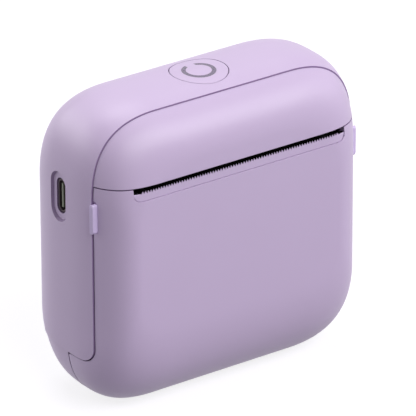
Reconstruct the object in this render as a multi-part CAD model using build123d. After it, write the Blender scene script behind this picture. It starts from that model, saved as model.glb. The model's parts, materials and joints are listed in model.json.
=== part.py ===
from build123d import *
from math import acos, atan2, cos, degrees, pi, radians, sin, sqrt, tan
import os

# A pocket-size photo printer with a front cover that opens downwards.
# Millimetres. X is the width, Y the depth with the front at -Y, Z is up.
# The origin is the middle of the footprint, on the surface that it stands on.

# Body
body_width = 84.0
body_height = 83.8
body_depth = 40.6
wall = 2.0
corner_radius = 20.0
corner_fullness = 0.68
edge_power = 2.25
foot_flat = 0.15

# How far the front face's rounded edge reaches, and the corners that are left on the flat face
front_round_share = 0.436
front_round_side = 11.2
front_round_top = 14.4
front_round_bottom = 25.75
front_corner_top = 18.7
front_corner_bottom = 9.6

# The same for the back face
back_round_share = 0.4926
back_round_side = 13.8
back_round_top = 21.4
back_round_bottom = 25.05
back_corner_top = 17.2
back_corner_bottom = 6.5
sections_per_round = 8

# Seams between the outer pieces
shell_step = 0.3
seam_gap = 0.3
fixed_gap = 0.12
seam_depth = 8.35
ledge_height = 15.9
ledge_corner = 4.5
base_seam_depth = 18.5
lip_wall = 1.0
lip_rise = 2.5
tongue_half_width = 5.0

# Paper slot, its tear bar and the teeth
slot_margin = 9.15
slot_height = 1.25
slot_drop = 17.8
slot_lip = 1.2
tear_bar_height = 2.5
tear_bar_thickness = 1.2
tear_bar_corner = 2.0
tear_bar_sink = 0.2
tooth_pitch = 0.8
tooth_height = 0.55
tooth_margin = 1.7
tooth_thickness = 0.45
tooth_heel = 0.55
shoulder_rise = 0.5
shoulder_ramp = 0.5
throat_drop = 1.1
inlay_gap = 0.1

# Opening tabs on the cover
tab_length = 8.2
tab_width = 1.15
tab_proud = 0.9
tab_drop = 8.65
tab_foot = 1.0
scoop_depth = 0.55
scoop_floor = 1.0

# Power button
button_set_back = 18.9
button_hole_radius = 7.77
button_gap = 0.22
button_travel = 0.4
button_top_wall = 1.2
button_flange = 0.8
button_flange_gap = 0.1
button_stem_drop = 2.65
stem_gap = 0.05
mark_radius = 4.5
mark_stroke = 1.15
mark_gap_width = 2.6
mark_depth = 0.3
stem_radius = 2.0

# USB-C socket and the recess around it
usb_set_back = 21.35
usb_drop = 25.0
recess_length = 13.8
recess_width = 7.4
recess_depth = 0.9
recess_draft = 28.0
port_length = 9.8
port_width = 3.9
socket_length = 8.94
socket_width = 3.2
socket_depth = 7.3
socket_wall = 0.3
socket_back = 1.2
socket_set_back = 0.3
tongue_set_back = 0.8
tongue_length = 6.6
tongue_thickness = 0.7

# Hinge at the bottom
hinge_radius = 2.9
lug_radius = 2.6
hinge_pin_radius = 0.8
ear_margin = 25.0
ear_width = 5.0
lug_width = 3.6
hinge_side_gap = 0.25
hinge_pin_sink = 0.5

# Paper roll and the bay that it lies in
paper_margin = 15.5
roll_margin = 5.3
core_radius = 5.5
core_bore_radius = 4.0
roll_play = 0.4
bay_side_play = 0.7
bay_wall = 1.2
roll_lift = 10.4
shelf_rise = 4.2
bay_lip_angle = 35.0

# Cover liner and platen
liner_gap = 0.15
liner_wall = 1.1
liner_bottom = 16.0
liner_screw_rise = 2.5
liner_screw_drop = 4.0
platen_radius = 4.0
platen_drop = 6.0
platen_to_cover = 0.9
platen_overhang = 0.3
shaft_radius = 1.5
bushing_radius = 2.8
running_gap = 0.05
cheek_wall = 1.4
cheek_drop = 14.0
cheek_roof = 1.2
bushing_end = 0.2
shaft_end = 0.6

# Print head
head_gap = 0.2
ceramic_thickness = 0.8
ceramic_height = 9.0
heat_sink_thickness = 3.0
heat_sink_height = 14.0
head_pivot_drop = 7.5
head_pin_radius = 0.8
pin_grip = 2.0
sink_overhang = 1.6
sink_foot = 1.5
ridge_radius = 0.6
ridge_rise = 0.08
spring_space = 3.5
spring_thickness = 0.3
spring_width = 14.0
spring_below = 8.0
spring_above = 7.0
spring_reach = 4.0

# Mechanism frame
frame_wall = 1.6
frame_play = 0.4
cross_wall_rise = 3.8
notch_play = 0.25
notch_upper_slope = 4.0
notch_lower_slope = 14.0
cheek_lip = 1.5
frame_post_radius = 2.0
ear_rim = 0.8
slit_height = 1.5
frame_screw_length = 7.0
self_tap_depth = 1.5
boss_radius = 2.4
boss_margin_low = 8.0
boss_drop_low = 3.6
boss_margin_high = 20.0
boss_top_drop = 8.3

# Gears
gear_module = 0.4
gear_backlash = 0.14
mesh_gap = 0.05
platen_teeth = 18
idler_teeth = 20
compound_small_teeth = 12
compound_large_teeth = 30
pinion_teeth = 10
gear_width = 1.5
gear_side_gap = 0.5
large_gear_gap = 0.2
large_gear_width = 1.2
pressure_angle = 20.0
tooth_addendum = 0.9
tooth_dedendum = 1.2
axle_radius = 0.75
clip_gap = 0.15
clip_width = 0.4
axle_end = 0.45
idler_angle = -8.0
compound_angle = 10.0
motor_angle = -15.0

# Motor
motor_radius = 7.5
motor_length = 11.0
motor_flange = 1.0
motor_screw_spread = 9.0
motor_rim = 0.6
motor_ear_rim = 1.9
motor_hub_rim = 1.3
motor_flange_half_width = 4.5
motor_shaft_radius = 0.75

# Electronics
board_thickness = 1.0
board_margin_left = 5.0
board_margin_right = 28.0
board_lift = 2.2
board_drop = 12.8
board_inset = 4.0

# Chips: left edge, height above the board's lower edge, width, height, thickness
chips = [
    (-20.0, 9.6, 7.0, 7.0, 0.9),
    (-8.0, 11.6, 5.0, 6.0, 0.8),
    (2.0, 13.6, 4.0, 4.0, 0.8),
    (-14.0, 18.0, 3.0, 2.0, 1.2),
]

# Battery, button board, switch and flex cable
battery_drop = 11.6
battery_inset = 9.0
battery_thickness = 6.0
battery_gap = 0.9
battery_corner = 2.1
button_board_length = 20.0
button_board_width = 9.0
button_board_inset = 2.2
switch_side = 6.0
switch_height = 3.4
plunger_radius = 1.6
plunger_height = 1.0
sensor_x = 6.0
sensor_width = 4.0
sensor_depth = 1.2
sensor_height = 3.0
sensor_rise = 3.4
flex_width = 20.0
flex_thickness = 0.2
flex_bend = 1.2
flex_lift = 0.5
flex_rise = 3.0
connector_height = 4.0
connector_depth = 1.2
connector_rim = 1.0

# Screws
screw_radius = 0.8
screw_head_radius = 1.5
screw_head_height = 0.8
screw_skin = 0.5
base_screw_inset = 5.0
base_screw_set_back = 4.0
base_screw_sink = 1.0
base_screw_length = 5.0
screw_head_play = 0.2
screw_slot = 0.35

# Places worked out from the sizes above
front_y = -body_depth / 2
front_round_depth = body_depth * front_round_share
back_round_depth = body_depth * back_round_share
seam_y = front_y + seam_depth
base_seam_y = front_y + base_seam_depth
cover_edge_y = seam_y - seam_gap
slot_width = body_width - 2 * slot_margin
slot_top = body_height - slot_drop
tooth_count = int((slot_width - 2 * tooth_margin) / tooth_pitch)
tab_height = slot_top - tab_drop
button_centre_y = front_y + button_set_back
ear_inner_x = body_width / 2 - ear_margin
base_screw_x = ear_inner_x - base_screw_inset
base_screw_y = base_seam_y + base_screw_set_back
tab_centre = (cover_edge_y - tab_width / 2, tab_height)
hinge_y = base_seam_y - hinge_radius
hinge_z = hinge_radius
hinge_axis = (hinge_y, hinge_z)
slot_bottom = slot_top - slot_height
far = body_width

paper_width = body_width - 2 * paper_margin
roll_radius = body_depth / 2 - roll_margin
roll_height = roll_lift + roll_radius
platen_y = front_y + wall + platen_to_cover + platen_radius
platen_z = slot_top - platen_drop
platen_half = paper_width / 2 + platen_overhang
ceramic_y = platen_y + platen_radius + head_gap
heat_sink_y = ceramic_y + ceramic_thickness
heat_sink_back = heat_sink_y + heat_sink_thickness
cross_wall_y = heat_sink_back + spring_space
cross_wall_back = cross_wall_y + frame_wall
cross_wall_middle = cross_wall_y + frame_wall / 2
head_pivot_y = heat_sink_y + heat_sink_thickness / 2
head_pivot_z = platen_z - head_pivot_drop
head_pivot = (head_pivot_y, head_pivot_z)

liner_cheek_in = platen_half + bay_side_play
liner_cheek_out = liner_cheek_in + cheek_wall
frame_cheek_in = liner_cheek_out + frame_play
frame_cheek_out = frame_cheek_in + frame_wall
gear_x = frame_cheek_out + gear_side_gap
large_gear_x = gear_x + gear_width + large_gear_gap
clip_x = large_gear_x + large_gear_width + clip_gap

platen_axis = (platen_y, platen_z)
roll_y = front_y + wall + liner_gap + liner_wall + roll_play + roll_radius
roll_axis = (roll_y, roll_height)
bay_radius = roll_radius + roll_play
bay_half = paper_width / 2 + bay_side_play
shelf_bottom = roll_height + roll_radius + shelf_rise
shelf_top = shelf_bottom + frame_wall
boss_x_low = body_width / 2 - boss_margin_low
boss_z_low = shelf_bottom - boss_drop_low
boss_x_high = body_width / 2 - boss_margin_high
cross_wall_top = slot_top + cross_wall_rise

usb_centre = (front_y + usb_set_back, body_height - usb_drop)
board_left = body_width / 2 - board_margin_left
board_right = body_width / 2 - board_margin_right
board_bottom = shelf_top + board_lift
board_top = body_height - board_drop
battery_length = board_left + board_right - battery_inset
battery_height = body_height - shelf_top - battery_drop
board_y = usb_centre[0] + socket_width / 2
flange_inset = wall + button_flange_gap
stem_foot = body_height - flange_inset - button_flange - button_stem_drop
button_board_top = stem_foot - stem_gap - plunger_height - switch_height


ALONG_X, ALONG_Y, ALONG_Z = (1, 0, 0), (0, 1, 0), (0, 0, 1)
BACKWARD, DOWN, LEFT = (0, -1, 0), (0, 0, -1), (-1, 0, 0)

# Small helpers for solids


def block(x, y, z):
    """A box from three pairs of limits."""
    size = (x[1] - x[0], y[1] - y[0], z[1] - z[0])
    return Solid.make_box(*size, Plane(origin=(x[0], y[0], z[0])))


def bar(direction, start, radius, length):
    """A round bar from start along direction."""
    return Solid.make_cylinder(radius, length, Plane(origin=start, z_dir=direction))


def minor_arc(start, end, centre):
    """The arc of under half a circle from start to end about centre."""
    start, end, centre = Vector(*start), Vector(*end), Vector(*centre)
    radius = (start - centre).length
    middle = centre + ((start + end) * 0.5 - centre).normalized() * radius
    return Edge.make_three_point_arc(start, middle, end)


def side_outline(x, steps):
    """A closed face at one X. Each step is a (y, z) point, or (y, z, centre) for an arc that ends there."""
    edges = []
    for here, there in zip(steps, steps[1:] + steps[:1]):
        start, end = (x, *here[:2]), (x, *there[:2])
        if len(there) == 3:
            edges.append(minor_arc(start, end, (x, *there[2])))
        else:
            edges.append(Edge.make_line(start, end))
    return Face(Wire(edges))


def side_plate(x, steps):
    """A plate between two X stations with an outline in Y and Z."""
    return Solid.extrude(side_outline(x[0], steps), Vector(x[1] - x[0], 0, 0))


def front_prism(y, points):
    """A prism between two Y stations with a polygon in X and Z."""
    face = Face(Wire.make_polygon([(px, y[0], pz) for px, pz in points], close=True))
    return Solid.extrude(face, Vector(0, y[1] - y[0], 0))


def joined(shapes):
    """The fusion of a list of solids."""
    result = shapes[0]
    for shape in shapes[1:]:
        result = result + shape
    return result


def both_sides(maker):
    """What maker gives for the left, -1, and the right, 1."""
    return [maker(side) for side in (-1, 1)]


def span(side, low, high):
    """The X limits from low to high on one side."""
    return (low, high) if side > 0 else (-high, -low)


def screw(direction, tip_side, length):
    """A pan-head screw whose head seats at tip_side and whose shank runs along direction."""
    seat = Vector(*tip_side)
    along = Vector(*direction)
    head = bar(direction, seat - along * screw_head_height, screw_head_radius, screw_head_height)
    shank = bar(direction, seat, screw_radius, length)
    top = Plane(origin=seat - along * screw_head_height, z_dir=along)

    def recess(width, height):
        origin = top.from_local_coords((-width / 2, -height / 2, 0))
        corner = Plane(origin=origin, x_dir=top.x_dir, z_dir=along)
        return Solid.make_box(width, height, screw_head_height / 2, corner)

    cross = [recess(screw_slot, screw_head_radius), recess(screw_head_radius, screw_slot)]
    return joined([head, shank]) - cross[0] - cross[1]


# The body's rounded skin


def rounding(depth_share):
    """How much of its full inset a rounded edge has taken, at a share of its depth."""
    return 1 - max(0.0, 1 - depth_share**edge_power) ** (1 / edge_power)


def section(y, inset, step):
    """Half width, top, bottom and the two corner radii of the skin at depth y.

    The bottom lies a little below the floor, and the regions cut it off flat there.
    """
    side = top = inset + step
    bottom = inset - foot_flat
    corner_top = corner_bottom = corner_radius - inset - step
    from_front = y - (front_y + inset)
    from_back = -front_y - inset - step - y
    front_reach = front_round_depth - inset
    back_reach = back_round_depth - inset - step
    if from_front < front_reach:
        taken = rounding(min(1.0, 1 - from_front / front_reach))
        side += (front_round_side - inset) * taken
        top += (front_round_top - inset) * taken
        bottom += (front_round_bottom - inset) * taken
        corner_top += (front_corner_top - corner_top) * taken
        corner_bottom += (front_corner_bottom - corner_bottom) * taken
    if from_back < back_reach:
        taken = rounding(min(1.0, 1 - from_back / back_reach))
        side += (back_round_side - inset - step) * taken
        top += (back_round_top - inset - step) * taken
        bottom += (back_round_bottom - inset) * taken
        corner_top += (back_corner_top - corner_top) * taken
        corner_bottom += (back_corner_bottom - corner_bottom) * taken
    return body_width / 2 - side, body_height - top, bottom, corner_top, corner_bottom


def section_wire(y, inset, step):
    """The skin's closed outline at depth y: four flats and four full corners."""
    half, top, bottom, high, low = section(y, inset, step)
    edges = []

    def flat(start, end):
        edges.append(Edge.make_line((start[0], y, start[1]), (end[0], y, end[1])))

    def corner(start, point, end):
        handles = [
            tuple(a + (b - a) * corner_fullness for a, b in zip(end_point, point))
            for end_point in (start, end)
        ]
        edges.append(Edge.make_bezier(*[(x, y, z) for x, z in (start, *handles, end)]))

    flat((half, bottom + low), (half, top - high))
    corner((half, top - high), (half, top), (half - high, top))
    flat((half - high, top), (high - half, top))
    corner((high - half, top), (-half, top), (-half, top - high))
    flat((-half, top - high), (-half, bottom + low))
    corner((-half, bottom + low), (-half, bottom), (low - half, bottom))
    flat((low - half, bottom), (half - low, bottom))
    corner((half - low, bottom), (half, bottom), (half, bottom + low))
    return Wire(edges)


def skin(inset=0.0, step=0.0):
    """The whole body as one solid, inset all round, and by step more at the sides, top and back."""
    turns = [pi / 2 * i / sections_per_round for i in range(sections_per_round + 1)]
    front_reach = front_round_depth - inset
    back_reach = back_round_depth - inset - step
    stations = [front_y + inset + front_reach * (1 - sin(a)) for a in reversed(turns)]
    stations += [-front_y - inset - step - back_reach * (1 - sin(a)) for a in turns]
    return Solid.make_loft([section_wire(y, inset, step) for y in stations], False)


outer_skin = skin()
core_skin = skin(step=shell_step)
inner_skin = skin(wall)
wrap_wall = outer_skin - inner_skin
core_wall = core_skin - inner_skin


# Outlines of the outer pieces, seen from the side


def wrap_region():
    """All that lies behind the front seam and above the ledge, with its rounded lower front corner."""
    centre = (seam_y + ledge_corner, ledge_height + ledge_corner)
    return side_plate((-far, far), [
        (seam_y, far * 2), (seam_y, centre[1]), (centre[0], ledge_height, centre),
        (far, ledge_height), (far, far * 2),
    ])


def cover_region():
    """The front cover: below the slot, in front of the seam, and under the ledge back to the hinge."""
    centre = (seam_y + ledge_corner, ledge_height + ledge_corner)
    swing = ledge_height - seam_gap - hinge_z
    rear_top = hinge_z + sqrt(swing**2 - hinge_radius**2)
    return side_plate((-far, far), [
        (-far, slot_top - seam_gap), (cover_edge_y, slot_top - seam_gap), (cover_edge_y, centre[1]),
        (centre[0], ledge_height - seam_gap, centre), (hinge_y, ledge_height - seam_gap),
        (base_seam_y, rear_top, hinge_axis), (base_seam_y, hinge_z), (hinge_y, 0, hinge_axis), (-far, 0),
    ])


def base_region(low, high, front):
    """All that lies behind the base seam between two heights."""
    return block((-far, far), (front, far), (low, high))


# Outer pieces


def oval(x, centre, length, width):
    """A face at one X in the shape of an upright bar with round ends."""
    y, z = centre
    half, rise = width / 2, length / 2 - width / 2
    low, high = (y, z - rise), (y, z + rise)
    return side_outline(x, [
        (y - half, z - rise), (y, z - length / 2, low), (y + half, z - rise, low),
        (y + half, z + rise), (y, z + length / 2, high), (y - half, z + rise, high),
    ])


def oval_prism(x, centre, length, width):
    """A prism between two X stations in the shape of an upright bar with round ends."""
    return Solid.extrude(oval(x[0], centre, length, width), Vector(x[1] - x[0], 0, 0))


def usb_recess():
    """The drafted oval pocket in the left side, and the port that goes through its floor."""
    outer_x = -body_width / 2
    shrink = 2 * recess_depth * tan(radians(recess_draft))
    rim = oval(outer_x, usb_centre, recess_length, recess_width)
    floor = oval(outer_x + recess_depth, usb_centre, recess_length - shrink, recess_width - shrink)
    pocket = Solid.make_loft([rim.outer_wire(), floor.outer_wire()], True)
    mouth = oval_prism((outer_x - wall, outer_x), usb_centre, recess_length, recess_width)
    port = oval_prism((outer_x - wall, outer_x + 2 * wall), usb_centre, port_length, port_width)
    return joined([mouth, pocket, port])


def boss_places():
    """X and Z of the four bosses that carry the mechanism frame."""
    top = body_height - boss_top_drop
    return [(side * x, z) for side in (-1, 1) for x, z in ((boss_x_low, boss_z_low), (boss_x_high, top))]


def finger_scoop(side):
    """The shallow hollow in the shell's rim behind an opening tab."""
    half = tab_length / 2
    radius = (half**2 + scoop_depth**2) / (2 * scoop_depth)
    x = span(side, body_width / 4, body_width)
    hollow = bar(ALONG_X, (x[0], seam_y + scoop_depth - radius, tab_height), radius, x[1] - x[0])
    return hollow & (outer_skin - skin(scoop_floor))


def wrap_shell():
    """Top, both sides and back, with the button hole, the USB recess and the frame's bosses."""
    shell = wrap_wall & wrap_region()
    for side in (-1, 1):
        shell -= finger_scoop(side)
    shell -= bar(ALONG_Z, (0, button_centre_y, body_height - 4 * wall), button_hole_radius, 8 * wall)
    shell -= usb_recess()
    reach = -front_y - wall / 2 - cross_wall_back
    bosses = [
        outer_skin & bar(ALONG_Y, (x, cross_wall_back, z), boss_radius, reach)
        for x, z in boss_places()
    ]
    shell = joined([shell] + bosses)
    for x, z in boss_places():
        shell -= bar(ALONG_Y, (x, cross_wall_y, z), screw_radius, frame_screw_length + 1)
    return shell


def base_shell():
    """The rear of the bottom, with a lip inside the wrap shell and the two hinge ears."""
    front = base_seam_y + seam_gap
    top = ledge_height - fixed_gap
    shell = core_wall & base_region(0, top, front)
    lip_inner = skin(wall + fixed_gap + lip_wall)
    lip_outer = skin(wall + fixed_gap)
    foot = (core_skin - lip_inner) & base_region(top - 3 * lip_wall, top, front)
    lip = (lip_outer - lip_inner) & base_region(top - lip_wall, ledge_height + lip_rise, front)
    ears = both_sides(lambda side: side_plate(span(side, ear_inner_x, ear_inner_x + ear_width), [
        (hinge_y, hinge_z - lug_radius, hinge_axis), (front + wall, hinge_z - lug_radius),
        (front + wall, hinge_z + lug_radius), (hinge_y, hinge_z + lug_radius),
        (hinge_y - lug_radius, hinge_z, hinge_axis),
    ]))
    shell = joined([shell, foot, lip] + ears)
    for side in (-1, 1):
        x = span(side, ear_inner_x, ear_inner_x + ear_width)
        shell -= bar(ALONG_X, (x[0], *hinge_axis), hinge_pin_radius + running_gap, x[1] - x[0])
        below = (side * base_screw_x, base_screw_y, -wall)
        shell -= bar(ALONG_Z, below, screw_radius + running_gap, 3 * wall)
        shell -= bar(ALONG_Z, below, screw_head_radius + screw_head_play, wall + base_screw_sink)
    return shell


def front_upper_panel():
    """The brow above the slot, with the paper guide behind its lower edge and two tongues under the shell."""
    edge = seam_y - fixed_gap
    panel = core_wall & block((-far, far), (-far, edge), (slot_top, far * 2))
    guide_half = slot_width / 2 + wall
    guide = block((-guide_half, guide_half), (-far, platen_y), (slot_top, slot_top + slot_lip)) & core_skin
    tongue_inner = skin(wall + fixed_gap + lip_wall)
    tongue_skin = skin(wall + fixed_gap) - tongue_inner
    foot_skin = core_skin - tongue_inner

    def tongue(side):
        x = (side * ear_inner_x - tongue_half_width, side * ear_inner_x + tongue_half_width)
        reach = tongue_skin & block(x, (edge - 2 * wall, seam_y + 2 * wall), (slot_top, far * 2))
        foot = foot_skin & block(x, (edge - 2 * wall, edge), (slot_top + wall, far * 2))
        return joined([reach, foot])

    return joined([panel, guide] + both_sides(tongue))


def inlay_outline(grow):
    """Limits of the tear bar's recess: half width, bottom and corner radius, grown by a gap."""
    return slot_width / 2 + grow, slot_bottom - tear_bar_height - grow, tear_bar_corner + grow


def inlay_prism(grow, top):
    """A prism along Y in the shape of the tear bar's recess, up to a height."""
    half, bottom, corner = inlay_outline(grow)
    body = block((-half, half), (-far, 0), (bottom + corner, top))
    middle = block((corner - half, half - corner), (-far, 0), (bottom, top))
    ends = [bar(BACKWARD, (x, 0, bottom + corner), corner, far) for x in (corner - half, half - corner)]
    return joined([body, middle] + ends)


def tab_prism(side, grow):
    """A prism through one side in the shape of an opening tab."""
    x = span(side, body_width / 4, body_width)
    return oval_prism(x, tab_centre, tab_length + 2 * grow, tab_width + 2 * grow)


def hinge_lugs():
    """The cover's four knuckles, one on each side of each hinge ear."""
    inner = (ear_inner_x - hinge_side_gap - lug_width, ear_inner_x - hinge_side_gap)
    outer = (ear_inner_x + ear_width + hinge_side_gap, ear_inner_x + ear_width + hinge_side_gap + lug_width)
    lugs = []
    for side in (-1, 1):
        for low, high in (inner, outer):
            x = span(side, low, high)
            knuckle = bar(ALONG_X, (x[0], *hinge_axis), lug_radius, high - low)
            web = block(x, (hinge_y - lug_radius, hinge_y + lug_radius), (wall / 2, hinge_z))
            lugs.append(joined([knuckle, web & bar(ALONG_X, (-far, *hinge_axis), hinge_radius, 2 * far)]))
    return lugs


def paper_cover():
    """The front cover, cut for the slot, the tear bar, the tabs and the hinge ears."""
    cover = core_wall & cover_region()
    cover -= inlay_prism(inlay_gap, far) & (core_skin - skin(tear_bar_thickness + inlay_gap, shell_step))
    throat = slot_bottom - tooth_height - throat_drop
    cover -= block((-slot_width / 2, slot_width / 2), (-far, 0), (throat, far))
    for side in (-1, 1):
        x = span(side, ear_inner_x - hinge_side_gap, ear_inner_x + ear_width + hinge_side_gap)
        cover -= block(x, (hinge_y - hinge_radius, far), (-1, hinge_z + hinge_radius))
        y, z = tab_centre
        half = tab_length / 2 + inlay_gap / 2
        behind = block(span(side, body_width / 4, body_width), (y, far), (z - half, z + half))
        cover -= joined([tab_prism(side, inlay_gap / 2), behind])
    cover = joined([cover] + hinge_lugs())
    for pin in hinge_pins():
        cover -= pin
    for x, z in liner_screw_places():
        cover -= bar(BACKWARD, (x, 0, z), screw_radius, -front_y - screw_skin)
    return cover


def hinge_pin_spans():
    """Start and length of the two hinge pins."""
    length = ear_width + 2 * (hinge_side_gap + lug_width - hinge_pin_sink)
    start = ear_inner_x - hinge_side_gap - lug_width + hinge_pin_sink
    return [(start, length), (-start - length, length)]


def hinge_pins():
    """Two short steel pins, fixed in the cover's knuckles and turning in the base's ears."""
    return [bar(ALONG_X, (x, *hinge_axis), hinge_pin_radius, length) for x, length in hinge_pin_spans()]


def tear_bar():
    """The serrated strip in the cover's recess: thin teeth along the slot, between two higher shoulders."""
    root = slot_bottom - tooth_height
    shoulder = slot_bottom + shoulder_rise
    start = -tooth_count * tooth_pitch / 2
    edge = start - shoulder_ramp
    points = [(-far, far), (-far, shoulder), (edge, shoulder), (start, root)]
    for i in range(tooth_count):
        points += [(start + (i + 0.5) * tooth_pitch, slot_bottom), (start + (i + 1) * tooth_pitch, root)]
    points += [(-edge, shoulder), (far, shoulder), (far, far)]
    band = skin(tear_bar_sink, shell_step) - skin(tear_bar_thickness, shell_step)
    strip = (band & inlay_prism(0, shoulder)) - front_prism((-far, 0), points)
    heel = block((start, -start), (-far, 0), (root - tooth_heel, far))
    return strip - (skin(tear_bar_sink + tooth_thickness, shell_step) & heel)


def opening_tab(side):
    """A finger tab with round ends, proud of the cover's side, on a foot glued inside the wall."""
    y, z = tab_centre
    inside = skin(wall + tab_foot)
    pill = tab_prism(side, 0) & (skin(-tab_proud, shell_step) - inside)
    rise = tab_length / 2 + tab_foot
    foot = (skin(wall) - inside) & block(
        span(side, body_width / 4, body_width), (y - tab_width, y + tab_width / 2), (z - rise, z + rise))
    return joined([pill, foot])


# Cover liner and platen


def liner_screw_places():
    """X and Z of the four screws that hold the liner to the cover."""
    x = bay_half - 3 * screw_head_radius
    levels = (roll_height + roll_radius + liner_screw_rise, platen_z - platen_radius - liner_screw_drop)
    return [(side * x, z) for side in (-1, 1) for z in levels]


def cover_liner():
    """The paper guide inside the cover, with the two cheeks that carry the platen."""
    outer = skin(wall + liner_gap)
    sheet_wall = outer - skin(wall + liner_gap + liner_wall)
    low, high = platen_z - cheek_drop, platen_z - platen_radius - 1
    sheet = sheet_wall & block((-bay_half, bay_half), (-far, hinge_y - 2 * wall), (liner_bottom, high))
    webs = sheet_wall & block((-liner_cheek_out, liner_cheek_out), (-far, 0), (low, high))
    rear = platen_y + bushing_radius + cheek_wall / 2
    roof = slot_bottom - cheek_roof
    cheeks = both_sides(lambda side: outer & side_plate(span(side, liner_cheek_in, liner_cheek_out), [
        (front_y, low), (front_y + 2 * wall, low), (rear, platen_z - bushing_radius),
        (rear, platen_z + cheek_wall), (platen_y, roof), (front_y, roof),
    ]))
    liner = joined([sheet, webs] + cheeks)
    liner -= bar(ALONG_X, (-far, *platen_axis), bushing_radius, 2 * far)
    for x, z in liner_screw_places():
        liner -= bar(BACKWARD, (x, 0, z), screw_radius + running_gap, far)
    return liner


def liner_screws():
    """Four screws through the liner into the cover's wall."""
    seat = front_y + wall + liner_gap + liner_wall
    length = seat - front_y - screw_skin - fixed_gap
    return [screw(BACKWARD, (x, seat, z), length) for x, z in liner_screw_places()]


def platen_shaft():
    """The steel shaft through the roller, from the left bushing to the gear."""
    start = -frame_cheek_out - shaft_end
    return bar(ALONG_X, (start, *platen_axis), shaft_radius, gear_x + gear_width - start)


def platen_roller():
    """The rubber roller on the shaft."""
    start, length = (-platen_half, *platen_axis), 2 * platen_half
    return bar(ALONG_X, start, platen_radius, length) - bar(ALONG_X, start, shaft_radius, length)


def platen_bushings():
    """Two plain bushings, fixed in the liner's cheeks and resting in the frame's notches."""
    def bushing(side):
        x = span(side, liner_cheek_in, frame_cheek_out + bushing_end)
        start, length = (x[0], *platen_axis), x[1] - x[0]
        bore = bar(ALONG_X, start, shaft_radius + running_gap, length)
        return bar(ALONG_X, start, bushing_radius, length) - bore

    return both_sides(bushing)


# Print head


def heat_sink():
    """The aluminium bar that the ceramic strip is bonded to, with bores for the pivot pins."""
    low = head_pivot_z - sink_foot
    half = platen_half + sink_overhang
    sink = block((-half, half), (heat_sink_y, heat_sink_back), (low, low + heat_sink_height))
    for x, length in head_pin_spans():
        sink -= bar(ALONG_X, (x, *head_pivot), head_pin_radius, length)
    return sink


def head_ceramic():
    """The ceramic strip with the raised line of heating elements that faces the platen."""
    strip = block((-platen_half, platen_half), (ceramic_y, heat_sink_y),
                  (platen_z - ceramic_height / 2, platen_z + ceramic_height / 2))
    start = (-paper_width / 2, ceramic_y + ridge_radius - ridge_rise, platen_z)
    ridge = bar(ALONG_X, start, ridge_radius, paper_width) & block((-far, far), (-far, heat_sink_y), (0, far))
    return joined([strip, ridge])


def head_pin_spans():
    """Start and length of the two pins that the print head rocks on."""
    start = platen_half - pin_grip
    length = frame_cheek_out - start
    return [(start, length), (-start - length, length)]


def head_pins():
    """The two steel pins, fixed in the heat sink and turning in the frame's cheeks."""
    return [bar(ALONG_X, (x, *head_pivot), head_pin_radius, length) for x, length in head_pin_spans()]


def head_spring():
    """The leaf spring behind the heat sink: a flat foot on the cross wall and a bent arm."""
    t = spring_thickness
    back, tip = cross_wall_y, heat_sink_back + seam_gap
    low, high = platen_z - spring_below, platen_z + spring_above
    x = (-spring_width / 2, spring_width / 2)
    foot = block(x, (back - t, back), (low, high))
    arm = side_plate(x, [
        (back - t, high), (back - t, high - 2 * t), (tip + t, platen_z + 1), (tip + t, platen_z - 1),
        (back - 1, platen_z - spring_reach), (back - 1 - t, platen_z - spring_reach + t),
        (tip, platen_z - 1), (tip, platen_z + 1),
    ])
    return joined([foot, arm])


def head_flex():
    """The flat flex cable from the ceramic strip, through the cross wall, to the connector on the board."""
    t = flex_thickness
    top = platen_z - ceramic_height / 2 - seam_gap
    front = heat_sink_y - seam_gap - t
    back = board_y - seam_gap
    level = shelf_top + flex_lift
    first, last = (front + flex_bend, level + flex_bend), (back - flex_bend, level + flex_bend)
    return side_plate((-flex_width / 2, flex_width / 2), [
        (front, top), (front, first[1]), (first[0], level, first),
        (last[0], level), (back, last[1], last), (back, level + flex_rise),
        (back - t, level + flex_rise), (back - t, last[1]), (last[0], level + t, last),
        (first[0], level + t), (front + t, first[1], first), (front + t, top),
    ])


# Mechanism frame, bay and roll


def gear_centres():
    """Where the idler, the compound gear and the motor pinion turn, as (y, z)."""
    def step(centre, teeth, angle):
        distance = gear_module * teeth / 2 + mesh_gap
        return (centre[0] + distance * cos(radians(angle)), centre[1] + distance * sin(radians(angle)))

    idler = step(platen_axis, platen_teeth + idler_teeth, idler_angle)
    compound = step(idler, idler_teeth + compound_small_teeth, compound_angle)
    pinion = step(compound, compound_large_teeth + pinion_teeth, motor_angle)
    return idler, compound, pinion


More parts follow.
